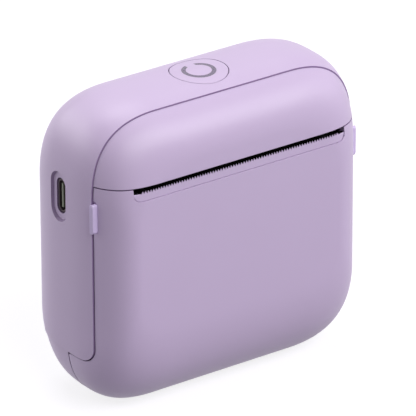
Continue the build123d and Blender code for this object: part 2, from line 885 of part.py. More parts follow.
def frame_blank():
    """The frame before its holes: cross wall, shelf, cheeks, motor plate, screw ears and posts."""
    motor_y, motor_z = gear_centres()[2]
    half = frame_cheek_out
    depth = (cross_wall_y, cross_wall_back)
    pieces = [
        block((-half, half), depth, (shelf_bottom, cross_wall_top)),
        block((-half, half), (cross_wall_y, roll_y + bay_radius + bay_wall), (shelf_bottom, shelf_top)),
    ]
    front, roof = platen_y - cheek_lip, slot_top - cheek_lip / 2
    cheek = [
        (front, head_pivot_z - 1), (front, roof), (platen_y + cheek_lip, roof),
        (head_pivot_y, cross_wall_top), (cross_wall_back, cross_wall_top),
        (cross_wall_back, shelf_bottom), (head_pivot_y - 1, shelf_bottom),
    ]
    pieces += both_sides(lambda side: side_plate(span(side, frame_cheek_in, frame_cheek_out), cheek))
    plate_top = motor_z + motor_screw_spread + screw_head_radius + motor_rim
    plate = block((frame_cheek_in, frame_cheek_out), (cross_wall_y, motor_y + motor_radius + motor_rim),
                  (shelf_bottom, plate_top))
    pieces.append(plate & skin(wall + seam_gap))
    ear = boss_radius + ear_rim
    high = body_height - boss_top_drop
    pieces += both_sides(lambda side: block(
        span(side, frame_cheek_in, boss_x_low + ear), depth, (boss_z_low - ear, shelf_top + ear)))
    pieces += both_sides(lambda side: block(
        span(side, boss_x_high - ear, boss_x_high + ear), depth, (cross_wall_top - 1, high + ear)))
    post_bottom = cross_wall_top - 1
    post_height = button_board_top - board_thickness - post_bottom
    for x in button_board_screw_x():
        pieces.append(bar(ALONG_Z, (x, cross_wall_middle, post_bottom), frame_post_radius, post_height))
    for x, z in board_screw_places():
        pieces.append(bar(ALONG_Y, (x, cross_wall_middle, z), frame_post_radius, board_y - cross_wall_middle))
    return joined(pieces)


def mechanism_frame():
    """The frame behind the print head, with its notches, its holes and the slit for the flex."""
    idler, compound, motor = gear_centres()
    frame = frame_blank()
    grip = bushing_radius + notch_play
    upper, lower = far * tan(radians(notch_upper_slope)), far * tan(radians(notch_lower_slope))
    for side in (-1, 1):
        x = span(side, liner_cheek_out, frame_cheek_out)
        frame -= bar(ALONG_X, (x[0], *platen_axis), grip, x[1] - x[0])
        frame -= side_plate(x, [
            (platen_y, platen_z + grip), (platen_y - far, platen_z + grip + upper),
            (platen_y - far, platen_z - grip - lower), (platen_y, platen_z - grip),
        ])
        frame -= bar(ALONG_X, (x[0], *head_pivot), head_pin_radius + running_gap, x[1] - x[0])
    for x, z in boss_places():
        frame -= bar(ALONG_Y, (x, cross_wall_y, z), screw_radius + running_gap, frame_wall)
    for x, z in board_screw_places():
        frame -= bar(BACKWARD, (x, board_y, z), screw_radius, self_tap_depth + fixed_gap)
    for x in button_board_screw_x():
        top = button_board_top - board_thickness
        frame -= bar(DOWN, (x, cross_wall_middle, top), screw_radius, self_tap_depth + fixed_gap)
    for y, z in (idler, compound):
        frame -= bar(ALONG_X, (frame_cheek_in, y, z), axle_radius, frame_wall)
    hub_radius = motor_shaft_radius + motor_hub_rim + fixed_gap
    frame -= bar(ALONG_X, (frame_cheek_in, *motor), hub_radius, frame_wall)
    for z in (motor[1] - motor_screw_spread, motor[1] + motor_screw_spread):
        frame -= bar(ALONG_X, (frame_cheek_in, motor[0], z), screw_radius + running_gap, frame_wall)
    slit = flex_width / 2 + 1
    return frame - block((-slit, slit), (cross_wall_y, cross_wall_back), (shelf_top, shelf_top + slit_height))


def frame_screws():
    """Four screws from the front through the frame's ears into the wrap shell's bosses."""
    return [screw(ALONG_Y, (x, cross_wall_y, z), frame_screw_length) for x, z in boss_places()]


def bay_curve(radius):
    """The bay's floor from the side, from its front lip round under the roll and up to the shelf."""
    low = radians(180 + bay_lip_angle)
    lip = (roll_y + radius * cos(low), roll_height + radius * sin(low))
    bottom = (roll_y, roll_height - radius)
    back = (roll_y + radius, roll_height)
    return lip, bottom, back, (back[0], shelf_bottom)


def paper_bay():
    """The open-fronted bucket that the roll drops into, with bosses down to the base."""
    lip, bottom, back, top = bay_curve(bay_radius + bay_wall)
    inner_lip, inner_bottom, inner_back, inner_top = bay_curve(bay_radius)
    outside = [lip, (*bottom, roll_axis), (*back, roll_axis), top]
    inside = [inner_top, inner_back, (*inner_bottom, roll_axis), (*inner_lip, roll_axis)]
    half = bay_half + bay_wall
    floor = side_plate((-half, half), outside + inside)
    ends = both_sides(lambda side: side_plate(span(side, bay_half, half), outside + [(lip[0], shelf_bottom)]))
    room = skin(wall + fixed_gap)
    bosses = both_sides(lambda side: room & bar(
        ALONG_Z, (side * base_screw_x, base_screw_y, 0), boss_radius, roll_height))
    bay = joined([floor] + ends + bosses) - bar(ALONG_X, (-bay_half, *roll_axis), bay_radius, 2 * bay_half)
    for side in (-1, 1):
        start = (side * base_screw_x, base_screw_y, base_screw_sink)
        bay -= bar(ALONG_Z, start, screw_radius, base_screw_length + fixed_gap)
    return bay


def base_screws():
    """Two screws from below, through the base into the bay's bosses."""
    return both_sides(lambda side: screw(
        ALONG_Z, (side * base_screw_x, base_screw_y, base_screw_sink), base_screw_length))


def roll_ring(outside, inside):
    """A ring of paper or card on the roll's axis."""
    start = (-paper_width / 2, *roll_axis)
    return bar(ALONG_X, start, outside, paper_width) - bar(ALONG_X, start, inside, paper_width)


# Gears


def spur_gear(centre, teeth, x, turn, bore):
    """An involute spur gear between two X stations, one tooth's middle at the angle turn in degrees."""
    pitch = gear_module * teeth / 2
    base = pitch * cos(radians(pressure_angle))
    tip, root = pitch + tooth_addendum * gear_module, pitch - tooth_dedendum * gear_module
    half_tooth = pi / (2 * teeth) - gear_backlash / (2 * pitch)

    def opening(radius):
        return sqrt(max(radius**2 - base**2, 0)) / base - acos(min(base / radius, 1))

    def half_angle(radius):
        return half_tooth + opening(pitch) - opening(radius)

    flank = [root] + [r for r in (base, (base + pitch) / 2, pitch, (pitch + tip) / 2, tip) if r > root]
    points = []
    for tooth in range(teeth):
        middle = radians(turn) + 2 * pi * tooth / teeth
        rising = [(radius, middle - half_angle(radius)) for radius in flank]
        falling = [(radius, middle + half_angle(radius)) for radius in reversed(flank)]
        points += [(centre[0] + r * cos(a), centre[1] + r * sin(a)) for r, a in rising + falling]
    return side_plate(x, points) - bar(ALONG_X, (x[0], *centre), bore, x[1] - x[0])


def bearing_angle(start, end):
    """The direction from one centre to another, in degrees."""
    return degrees(atan2(end[1] - start[1], end[0] - start[0]))


def meshed_turn(first, first_teeth, first_turn, second, second_teeth):
    """The turn that puts a gap of the second gear on the first gear's tooth at their mesh."""
    line = bearing_angle(first, second)
    tooth_offset = (line - first_turn) * first_teeth / 360
    fraction = tooth_offset - round(tooth_offset)
    return line + 180 + (0.5 + fraction) * 360 / second_teeth


def gears():
    """The platen gear, idler, compound gear and pinion, all in mesh."""
    idler, compound, pinion = gear_centres()
    x = (gear_x, gear_x + gear_width)
    large_x = (large_gear_x, large_gear_x + large_gear_width)
    turning = axle_radius + running_gap
    idler_turn = meshed_turn(platen_axis, platen_teeth, 0, idler, idler_teeth)
    small_turn = meshed_turn(idler, idler_teeth, idler_turn, compound, compound_small_teeth)
    pinion_turn = meshed_turn(compound, compound_large_teeth, 0, pinion, pinion_teeth)
    small = spur_gear(compound, compound_small_teeth, (gear_x, large_gear_x), small_turn, turning)
    large = spur_gear(compound, compound_large_teeth, large_x, 0, turning)
    return {
        "platen_gear": spur_gear(platen_axis, platen_teeth, x, 0, shaft_radius),
        "idler_gear": spur_gear(idler, idler_teeth, x, idler_turn, turning),
        "compound_gear": joined([small, large]),
        "motor_pinion": spur_gear(pinion, pinion_teeth, large_x, pinion_turn, motor_shaft_radius),
    }


def gear_axles():
    """Two steel axles pressed into the right cheek, the compound gear's long enough for its clip."""
    idler, compound, _ = gear_centres()
    short = bar(ALONG_X, (frame_cheek_in, *idler), axle_radius, gear_x + gear_width - frame_cheek_in)
    end = clip_x + clip_width + axle_end
    return [short, bar(ALONG_X, (frame_cheek_in, *compound), axle_radius, end - frame_cheek_in)]


def gear_clip():
    """The ring that keeps the compound gear on its axle."""
    start = (clip_x, *gear_centres()[1])
    return bar(ALONG_X, start, 2 * axle_radius, clip_width) - bar(ALONG_X, start, axle_radius, clip_width)


# Motor


def stepper_motor():
    """The motor's can and its flange, seated on the right cheek."""
    y, z = centre = gear_centres()[2]
    face = frame_cheek_in
    can = bar(LEFT, (face, *centre), motor_radius, motor_length)
    width, length = 2 * motor_flange_half_width, 2 * (motor_screw_spread + motor_ear_rim)
    flange = oval_prism((face - motor_flange, face), centre, length, width)
    hub = bar(ALONG_X, (face, *centre), motor_shaft_radius + motor_hub_rim, frame_wall)
    motor = joined([can, flange, hub])
    for side in (-1, 1):
        motor -= bar(LEFT, (face, y, z + side * motor_screw_spread), screw_radius, motor_flange)
    bore = motor_length / 2 + frame_wall
    return motor - bar(LEFT, (face + frame_wall, *centre), motor_shaft_radius + running_gap, bore)


def motor_shaft():
    """The motor's output shaft."""
    start = frame_cheek_in - motor_length / 2 + fixed_gap
    end = large_gear_x + large_gear_width + clip_gap
    return bar(ALONG_X, (start, *gear_centres()[2]), motor_shaft_radius, end - start)


def motor_screws():
    """Two screws through the right cheek into the motor's flange."""
    y, z = gear_centres()[2]
    length = frame_wall + motor_flange
    return both_sides(lambda side: screw(LEFT, (frame_cheek_out, y, z + side * motor_screw_spread), length))


# Electronics


def board_screw_places():
    """X and Z of the two screws that hold the main board."""
    low = (3 * board_inset - board_left, board_bottom + board_inset)
    return [low, (board_right - board_inset, board_top - board_inset)]


def main_board():
    """The main circuit board, upright behind the cross wall."""
    board = block((-board_left, board_right), (board_y, board_y + board_thickness), (board_bottom, board_top))
    for x, z in board_screw_places():
        board -= bar(ALONG_Y, (x, board_y, z), screw_radius + running_gap, board_thickness)
    return board


def board_chips():
    """The larger chips on the board's front face."""
    return [block((x, x + width), (board_y - rise, board_y), (board_bottom + z, board_bottom + z + height))
            for x, z, width, height, rise in chips]


def flex_connector():
    """The connector that the print head's flex plugs into."""
    half = flex_width / 2 + connector_rim
    low = shelf_top + flex_lift + flex_bend + seam_gap
    body = block((-half, half), (board_y - connector_depth, board_y), (low, low + connector_height))
    inner = half - seam_gap
    depth = (board_y - seam_gap - 2 * flex_thickness, board_y - flex_thickness)
    return body - block((-inner, inner), depth, (low, low + connector_height - connector_rim / 2))


def usb_mouth_x():
    """The X of the USB socket's mouth, just inside the recess's floor."""
    return -body_width / 2 + recess_depth + socket_set_back


def usb_socket():
    """The steel shell of the USB socket, open at its mouth."""
    mouth = usb_mouth_x()
    x = (mouth, mouth + socket_depth)
    shell = oval_prism(x, usb_centre, socket_length, socket_width)
    hollow = oval_prism((mouth - 1, x[1] - socket_back), usb_centre, socket_length - 2 * socket_wall,
                        socket_width - 2 * socket_wall)
    return shell - hollow


def usb_tongue():
    """The tongue with the contacts, inside the socket."""
    mouth = usb_mouth_x()
    y, z = usb_centre
    thick, long = tongue_thickness / 2, tongue_length / 2
    return block((mouth + tongue_set_back, mouth + socket_depth - socket_back),
                 (y - thick, y + thick), (z - long, z + long))


def battery_pack():
    """The flat lithium cell, standing on the frame's shelf behind the board."""
    front = board_y + board_thickness + screw_head_height + battery_gap
    cell = block((board_right - battery_length, board_right), (front, front + battery_thickness),
                 (shelf_top, shelf_top + battery_height))
    return fillet(cell.edges().filter_by(Axis.Z), battery_corner)


def board_screws():
    """Two screws that hold the main board to the frame's posts."""
    seat, length = board_y + board_thickness, board_thickness + self_tap_depth
    return [screw(BACKWARD, (x, seat, z), length) for x, z in board_screw_places()]


def button_board_screw_x():
    """X of the two posts under the button board."""
    x = button_board_length / 2 - button_board_inset
    return (-x, x)


def button_board():
    """The small board under the button."""
    half, length = button_board_width / 2, button_board_length / 2
    bottom = button_board_top - board_thickness
    y = (button_centre_y - half, button_centre_y + half)
    board = block((-length, length), y, (bottom, button_board_top))
    for x in button_board_screw_x():
        board -= bar(ALONG_Z, (x, cross_wall_middle, bottom), screw_radius + running_gap, board_thickness)
    return board


def button_board_screws():
    """Two screws from above, through the button board into the frame's posts."""
    length = board_thickness + self_tap_depth
    return [screw(DOWN, (x, cross_wall_middle, button_board_top), length) for x in button_board_screw_x()]


def tact_switch():
    """The body of the tact switch under the button."""
    half = switch_side / 2
    body = block((-half, half), (button_centre_y - half, button_centre_y + half),
                 (button_board_top, button_board_top + switch_height))
    bore_bottom = (0, button_centre_y, button_board_top + switch_height / 3)
    return body - bar(ALONG_Z, bore_bottom, plunger_radius + running_gap, switch_height)


def switch_plunger():
    """The switch's plunger, which the button's stem pushes down."""
    low = button_board_top + switch_height / 3 + button_travel + stem_gap
    high = button_board_top + switch_height + plunger_height
    return bar(ALONG_Z, (0, button_centre_y, low), plunger_radius, high - low)


# Button


def upright(radius, low=body_height / 2):
    """A tall round bar on the button's centre line, from a height upwards."""
    return bar(ALONG_Z, (0, button_centre_y, low), radius, far * 2)


def power_button():
    """The round cap, flush with the top, its flange inside the shell, its stem over the switch."""
    radius = button_hole_radius - button_gap
    inner = radius - button_top_wall
    low_skin = skin(flange_inset + button_flange)
    cap = upright(radius) & (outer_skin - skin(button_top_wall))
    skirt = (upright(radius) - upright(inner)) & (outer_skin - low_skin)
    flange = (upright(radius + button_flange) - upright(inner)) & (skin(flange_inset) - low_skin)
    stem = upright(stem_radius, stem_foot) & skin(button_top_wall / 2)
    button = joined([skirt, cap, stem, flange])
    return button - button_ring_mark()


def mark_prism():
    """The open ring on the button's top, its gap towards the back."""
    ring = upright(mark_radius) - upright(mark_radius - mark_stroke)
    half = mark_gap_width / 2
    return ring - block((-half, half), (button_centre_y, far), (0, far * 2))


def button_ring_mark():
    """The translucent ring let into the button's top."""
    return mark_prism() & (outer_skin - skin(mark_depth))


def paper_sensor():
    """The small optical sensor on the frame that looks at the paper above the roll."""
    low = shelf_bottom + sensor_rise
    return block((sensor_x, sensor_x + sensor_width), (cross_wall_y - sensor_depth, cross_wall_y),
                 (low, low + sensor_height))


def build():
    """Every node of the printer by name."""
    nodes = {
        "wrap_shell": wrap_shell(),
        "base_shell": base_shell(),
        "front_upper_panel": front_upper_panel(),
        "paper_cover": paper_cover(),
        "cover_liner": cover_liner(),
        "tear_bar": tear_bar(),
        "opening_tab_left": opening_tab(-1),
        "opening_tab_right": opening_tab(1),
        "hinge_pins": hinge_pins(),
        "liner_screws": liner_screws(),
        "platen_shaft": platen_shaft(),
        "platen_roller": platen_roller(),
        "platen_bushings": platen_bushings(),
        "mechanism_frame": mechanism_frame(),
        "frame_screws": frame_screws(),
        "paper_bay": paper_bay(),
        "base_screws": base_screws(),
        "paper_roll": roll_ring(roll_radius, core_radius),
        "roll_core": roll_ring(core_radius, core_bore_radius),
        "head_heat_sink": heat_sink(),
        "head_ceramic": head_ceramic(),
        "head_pins": head_pins(),
        "head_spring": head_spring(),
        "head_flex": head_flex(),
        "gear_axles": gear_axles(),
        "gear_clip": gear_clip(),
        "stepper_motor": stepper_motor(),
        "motor_shaft": motor_shaft(),
        "motor_screws": motor_screws(),
        "main_board": main_board(),
        "board_chips": board_chips(),
        "board_screws": board_screws(),
        "flex_connector": flex_connector(),
        "usb_socket": usb_socket(),
        "usb_tongue": usb_tongue(),
        "battery_pack": battery_pack(),
        "button_board": button_board(),
        "button_board_screws": button_board_screws(),
        "tact_switch": tact_switch(),
        "switch_plunger": switch_plunger(),
        "power_button": power_button(),
        "button_ring_mark": button_ring_mark(),
        "paper_sensor": paper_sensor(),
    }
    nodes.update(gears())
    return nodes


os.makedirs("parts", exist_ok=True)
for name, shape in build().items():
    solids = shape if isinstance(shape, list) else [shape]
    export_step(Compound(children=[s for piece in solids for s in piece.solids()]), f"parts/{name}.step")
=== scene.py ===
"""Looks of the pocket photo printer: its finishes, fine pieces, stage, lamps and camera."""
import json
import logging
import math
from collections.abc import Callable, Iterator
from contextlib import contextmanager
from dataclasses import dataclass, field
from enum import Enum

import bmesh
import bpy
from mathutils import Matrix, Vector
from mathutils.bvhtree import BVHTree

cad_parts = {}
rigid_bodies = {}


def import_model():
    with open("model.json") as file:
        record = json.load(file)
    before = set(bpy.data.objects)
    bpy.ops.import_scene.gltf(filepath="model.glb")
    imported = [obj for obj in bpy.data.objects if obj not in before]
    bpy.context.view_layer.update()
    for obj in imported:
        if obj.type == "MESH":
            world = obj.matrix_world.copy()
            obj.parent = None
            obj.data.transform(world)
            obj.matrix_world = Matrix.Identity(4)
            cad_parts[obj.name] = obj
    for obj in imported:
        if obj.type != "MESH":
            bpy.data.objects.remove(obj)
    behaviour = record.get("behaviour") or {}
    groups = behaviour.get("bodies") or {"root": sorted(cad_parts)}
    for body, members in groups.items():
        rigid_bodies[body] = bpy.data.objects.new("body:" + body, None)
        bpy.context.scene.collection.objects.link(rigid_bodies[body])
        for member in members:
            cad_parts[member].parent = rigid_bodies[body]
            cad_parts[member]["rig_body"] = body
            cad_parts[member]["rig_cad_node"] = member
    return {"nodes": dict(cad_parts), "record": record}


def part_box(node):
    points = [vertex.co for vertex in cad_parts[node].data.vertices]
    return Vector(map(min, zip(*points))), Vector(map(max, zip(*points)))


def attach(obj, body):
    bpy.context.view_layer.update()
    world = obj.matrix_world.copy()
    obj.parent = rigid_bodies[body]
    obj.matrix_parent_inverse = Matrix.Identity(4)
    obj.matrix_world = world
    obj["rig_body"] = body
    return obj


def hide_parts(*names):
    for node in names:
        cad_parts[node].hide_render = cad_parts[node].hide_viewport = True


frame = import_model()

log = logging.getLogger("printer")
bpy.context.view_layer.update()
MM = 0.001

# The period of Blender's wave texture at scale 1
WAVE_PERIOD = 0.314

# Points of a CAD mesh nearer than this are one point
WELD_MM = 0.002


# Places and directions


def body_of(node: str) -> str:
    """Names the moving body that a CAD node belongs to."""
    bodies = frame["record"]["behaviour"]["bodies"]
    return next(body for body, names in bodies.items() if node in names)


def node_box(node: str) -> tuple[Vector, Vector]:
    """Gives a CAD node's lowest and highest corners."""
    low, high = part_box(node)
    return Vector(low), Vector(high)


def joint_mm(name: str) -> Vector:
    """Gives a joint's place in millimetres."""
    joints = frame["record"]["behaviour"]["joints"]
    return Vector(next(joint["pos_m"] for joint in joints if joint["name"] == name)) / MM


def direction(azimuth: float, elevation: float) -> Vector:
    """Points from the printer towards a camera or lamp.

    Args:
        azimuth: The angle from the front towards the right, in degrees.
        elevation: The angle above the floor, in degrees.

    Returns:
        A vector of length 1.
    """
    turn, lift = math.radians(azimuth), math.radians(elevation)
    return Vector((math.sin(turn) * math.cos(lift), -math.cos(turn) * math.cos(lift), math.sin(lift)))


# Colours and shader nodes


def linear(hex_colour: str) -> tuple[float, float, float, float]:
    """Turns an sRGB hex colour into linear values.

    Args:
        hex_colour: Six hex digits, with or without a leading hash.

    Returns:
        Red, green, blue and an alpha of 1.
    """
    digits = hex_colour.lstrip("#")
    channels = []
    for start in (0, 2, 4):
        value = int(digits[start:start + 2], 16) / 255
        channels.append(value / 12.92 if value <= 0.04045 else ((value + 0.055) / 1.055) ** 2.4)
    return (channels[0], channels[1], channels[2], 1.0)


def add_node(
    tree: bpy.types.NodeTree,
    kind: str,
    settings: dict[str, object] | None = None,
    inputs: dict[str | int, object] | None = None,
) -> bpy.types.Node:
    """Adds a shader node with its settings, values and links.

    Args:
        tree: The node tree that the node goes into.
        kind: Blender's name of the node type.
        settings: Attributes of the node itself.
        inputs: For each input's name or index, a value or an output socket to link from.

    Returns:
        The new node.
    """
    node = tree.nodes.new(kind)
    for name, value in (settings or {}).items():
        setattr(node, name, value)
    for name, value in (inputs or {}).items():
        if isinstance(value, bpy.types.NodeSocket):
            tree.links.new(value, node.inputs[name])
        else:
            node.inputs[name].default_value = value
    return node


def new_tree(name: str) -> tuple[bpy.types.Material, bpy.types.NodeTree]:
    """Makes an empty node material.

    Args:
        name: The material's name.

    Returns:
        The material and its empty node tree.
    """
    material = bpy.data.materials.new(name)
    material.use_nodes = True
    material.node_tree.nodes.clear()
    return material, material.node_tree


def blend(tree: bpy.types.NodeTree, factor: bpy.types.NodeSocket,
          low: object, high: object) -> bpy.types.NodeSocket:
    """Blends two colours by a factor.

    Args:
        tree: The material's node tree.
        factor: Where it is 0 the first colour shows, and where it is 1 the second.
        low: The first colour, as linear values or a socket.
        high: The second colour, likewise.

    Returns:
        The blended colour.
    """
    return add_node(tree, "ShaderNodeMix", {"data_type": "RGBA"}, {
        "Factor": factor, "A": low, "B": high}).outputs["Result"]


def scaled(colour: tuple[float, ...], factor: float) -> tuple[float, float, float, float]:
    """Makes a linear colour lighter or darker by a factor."""
    red, green, blue = (min(1.0, channel * factor) for channel in colour[:3])
    return (red, green, blue, 1.0)


def seen_directly(tree: bpy.types.NodeTree) -> bpy.types.NodeSocket:
    """Gives 1 where the camera sees a surface, also by a mirror or through glass, and 0 for other light."""
    light = add_node(tree, "ShaderNodeLightPath")
    seen = light.outputs["Is Camera Ray"]
    for way in ("Is Glossy Ray", "Is Transmission Ray"):
        seen = add_node(tree, "ShaderNodeMath", {"operation": "MAXIMUM", "use_clamp": True}, {
            0: seen, 1: light.outputs[way]}).outputs[0]
    return seen


class Axis(Enum):
    """A direction in the printer, as the index of its coordinate."""

    X = 0
    Y = 1
    Z = 2


@dataclass(frozen=True)
class Finish:
    """What every finish has: a name, a colour, a fine grain and soft clouds in its tone and gloss."""

    name: str
    colour: str
    roughness: float = 0.5
    roughness_spread: float = 0.04
    grain_mm: float = 0.3
    grain_depth_mm: float = 0.004
    cloud_mm: float = 18.0
    tint: float = 0.04
    metallic: float = 0.0
    specular: float = 0.5
    edge_mm: float = 0.0

    def pattern(self, tree: bpy.types.NodeTree, place: bpy.types.NodeSocket) -> bpy.types.NodeSocket:
        """Gives the surface's height from 0 to 1; the plain finish has an even fine grain."""
        grain = add_node(tree, "ShaderNodeTexNoise", inputs={
            "Vector": place, "Scale": 1 / (self.grain_mm * MM), "Detail": 2.0, "Roughness": 0.6})
        return grain.outputs["Fac"]

    def colours(self, tree: bpy.types.NodeTree, place: bpy.types.NodeSocket,
                height: bpy.types.NodeSocket) -> bpy.types.NodeSocket:
        """Gives the surface's colour: the base, a little lighter and darker in broad soft clouds."""
        cloud = add_node(tree, "ShaderNodeTexNoise", inputs={
            "Vector": place, "Scale": 1 / (self.cloud_mm * MM), "Detail": 1.0}).outputs["Fac"]
        base = linear(self.colour)
        return blend(tree, cloud, scaled(base, 1 - self.tint), scaled(base, 1 + self.tint))

    def finish_shader(self, tree: bpy.types.NodeTree, shader: bpy.types.Node) -> None:
        """Sets what only this finish has on its shader; the plain finish has nothing more."""

    def material(self) -> bpy.types.Material:
        """Builds the material once and gives the same one after that."""
        known = bpy.data.materials.get(self.name)
        if known:
            return known
        material, tree = new_tree(self.name)
        place = add_node(tree, "ShaderNodeTexCoord").outputs["Object"]
        height = self.pattern(tree, place)
        bump = add_node(tree, "ShaderNodeBump", inputs={
            "Strength": 1.0, "Distance": self.grain_depth_mm * MM, "Height": height})
        if self.edge_mm:
            edge = add_node(tree, "ShaderNodeBevel", {"samples": 6}, {"Radius": self.edge_mm * MM})
            tree.links.new(edge.outputs["Normal"], bump.inputs["Normal"])
        gloss = add_node(tree, "ShaderNodeMapRange", inputs={
            "Value": height, "To Min": self.roughness - self.roughness_spread,
            "To Max": self.roughness + self.roughness_spread})
        shader = add_node(tree, "ShaderNodeBsdfPrincipled", inputs={
            "Base Color": self.colours(tree, place, height), "Metallic": self.metallic,
            "Roughness": gloss.outputs["Result"], "Specular IOR Level": self.specular,
            "Normal": bump.outputs["Normal"]})
        self.finish_shader(tree, shader)
        add_node(tree, "ShaderNodeOutputMaterial", inputs={"Surface": shader.outputs["BSDF"]})
        return material


@dataclass(frozen=True)
class ErodedPlastic(Finish):
    """Plastic from a spark-eroded mould: small round pits, seen as an even satin surface."""

    def pattern(self, tree: bpy.types.NodeTree, place: bpy.types.NodeSocket) -> bpy.types.NodeSocket:
        """Gives the height: pits of the grain's width, broken up by a noise of half of it."""
        pits = add_node(tree, "ShaderNodeTexVoronoi", {"feature": "SMOOTH_F1"}, {
            "Vector": place, "Scale": 1 / (self.grain_mm * MM), "Smoothness": 0.6}).outputs["Distance"]
        fine = add_node(tree, "ShaderNodeTexNoise", inputs={
            "Vector": place, "Scale": 2 / (self.grain_mm * MM), "Detail": 1.0}).outputs["Fac"]
        return add_node(tree, "ShaderNodeMix", {"data_type": "FLOAT"}, {
            "Factor": 0.5, "A": pits, "B": fine}).outputs["Result"]


@dataclass(frozen=True)
class LinedMetal(Finish):
    """Metal or rubber with fine tool marks: turned round its axis, or milled and ground along it."""

    axis: Axis = Axis.X
    turned: bool = True
    metallic: float = 1.0
    tint: float = 0.1
    length_share: float = 0.03

    def pattern(self, tree: bpy.types.NodeTree, place: bpy.types.NodeSocket) -> bpy.types.NodeSocket:
        """Gives the height: lines round the axis on a turned surface, and along it on any other."""
        fine = 1 / (self.grain_mm * MM)
        scale = [fine if (axis is self.axis) == self.turned else fine * self.length_share for axis in Axis]
        lines = add_node(tree, "ShaderNodeMapping", inputs={"Vector": place, "Scale": scale})
        return add_node(tree, "ShaderNodeTexNoise", inputs={
            "Vector": lines.outputs["Vector"], "Scale": 1.0, "Detail": 3.0, "Roughness": 0.7}).outputs["Fac"]

    def colours(self, tree: bpy.types.NodeTree, place: bpy.types.NodeSocket,
                height: bpy.types.NodeSocket) -> bpy.types.NodeSocket:
        """Gives the colour: a little darker in the marks."""
        base = linear(self.colour)
        return blend(tree, height, scaled(base, 1 - self.tint), base)


@dataclass(frozen=True)
class PrintedBoard(Finish):
    """A printed board: glass weave under a solder mask, with raised copper tracks and tinned vias."""

    track_colour: str = "#2F7A48"
    via_colour: str = "#C9C2A6"
    mesh_mm: float = 3.4
    track_share: float = 0.045
    track_edge: float = 1.5
    via_share: float = 0.1
    randomness: float = 0.4

    def cells(self, tree: bpy.types.NodeTree, place: bpy.types.NodeSocket, kind: str) -> bpy.types.NodeSocket:
        """Gives the distance to the edge or the centre of the cells that the tracks run between."""
        cells = add_node(tree, "ShaderNodeTexVoronoi", {"feature": kind}, {
            "Vector": place, "Scale": 1 / (self.mesh_mm * MM), "Randomness": self.randomness})
        return cells.outputs["Distance"]

    def pattern(self, tree: bpy.types.NodeTree, place: bpy.types.NodeSocket) -> bpy.types.NodeSocket:
        """Gives the height: 1 on a track and 0 between tracks."""
        return add_node(tree, "ShaderNodeMapRange", inputs={
            "Value": self.cells(tree, place, "DISTANCE_TO_EDGE"), "From Min": self.track_share,
            "From Max": self.track_share * self.track_edge, "To Min": 1.0, "To Max": 0.0}).outputs["Result"]

    def colours(self, tree: bpy.types.NodeTree, place: bpy.types.NodeSocket,
                height: bpy.types.NodeSocket) -> bpy.types.NodeSocket:
        """Gives the colour: the mask, lighter over the tracks, with pale round vias."""
        masked = blend(tree, height, linear(self.colour), linear(self.track_colour))
        via = add_node(tree, "ShaderNodeMath", {"operation": "LESS_THAN"}, {
            0: self.cells(tree, place, "F1"), 1: self.via_share})
        return blend(tree, via.outputs[0], masked, linear(self.via_colour))


@dataclass(frozen=True)
class FlexCable(Finish):
    """A flat flexible cable: copper lines side by side between two amber films."""

    line_colour: str = "#E0A45C"
    pitch_mm: float = 1.0

    def pattern(self, tree: bpy.types.NodeTree, place: bpy.types.NodeSocket) -> bpy.types.NodeSocket:
        """Gives the height: ridges over the copper lines, side by side along X."""
        return add_node(tree, "ShaderNodeTexWave", {"bands_direction": "X"}, {
            "Vector": place, "Scale": WAVE_PERIOD / (self.pitch_mm * MM)}).outputs["Fac"]

    def colours(self, tree: bpy.types.NodeTree, place: bpy.types.NodeSocket,
                height: bpy.types.NodeSocket) -> bpy.types.NodeSocket:
        """Gives the colour: lighter over the copper."""
        return blend(tree, height, linear(self.colour), linear(self.line_colour))


@dataclass(frozen=True)
class PouchFoil(Finish):
    """A pouch cell's dull foil: soft dents and creases, and amber tape over its two ends."""

    tape_colour: str = "#C98A2B"
    tape_from_mm: float = 27.0
    crease_mm: float = 7.0

    def pattern(self, tree: bpy.types.NodeTree, place: bpy.types.NodeSocket) -> bpy.types.NodeSocket:
        """Gives the height: broad dents with sharper creases."""
        dents = add_node(tree, "ShaderNodeTexNoise", inputs={
            "Vector": place, "Scale": 1 / (self.crease_mm * MM), "Detail": 3.0, "Distortion": 0.6})
        return dents.outputs["Fac"]

    def colours(self, tree: bpy.types.NodeTree, place: bpy.types.NodeSocket,
                height: bpy.types.NodeSocket) -> bpy.types.NodeSocket:
        """Gives the colour: foil in the middle and tape towards both ends."""
        split = add_node(tree, "ShaderNodeSeparateXYZ", inputs={"Vector": place})
        aside = add_node(tree, "ShaderNodeMath", {"operation": "ABSOLUTE"}, {0: split.outputs["X"]})
        end = add_node(tree, "ShaderNodeMath", {"operation": "GREATER_THAN"},
                       {0: aside.outputs[0], 1: self.tape_from_mm * MM})
        return blend(tree, end.outputs[0], linear(self.colour), linear(self.tape_colour))


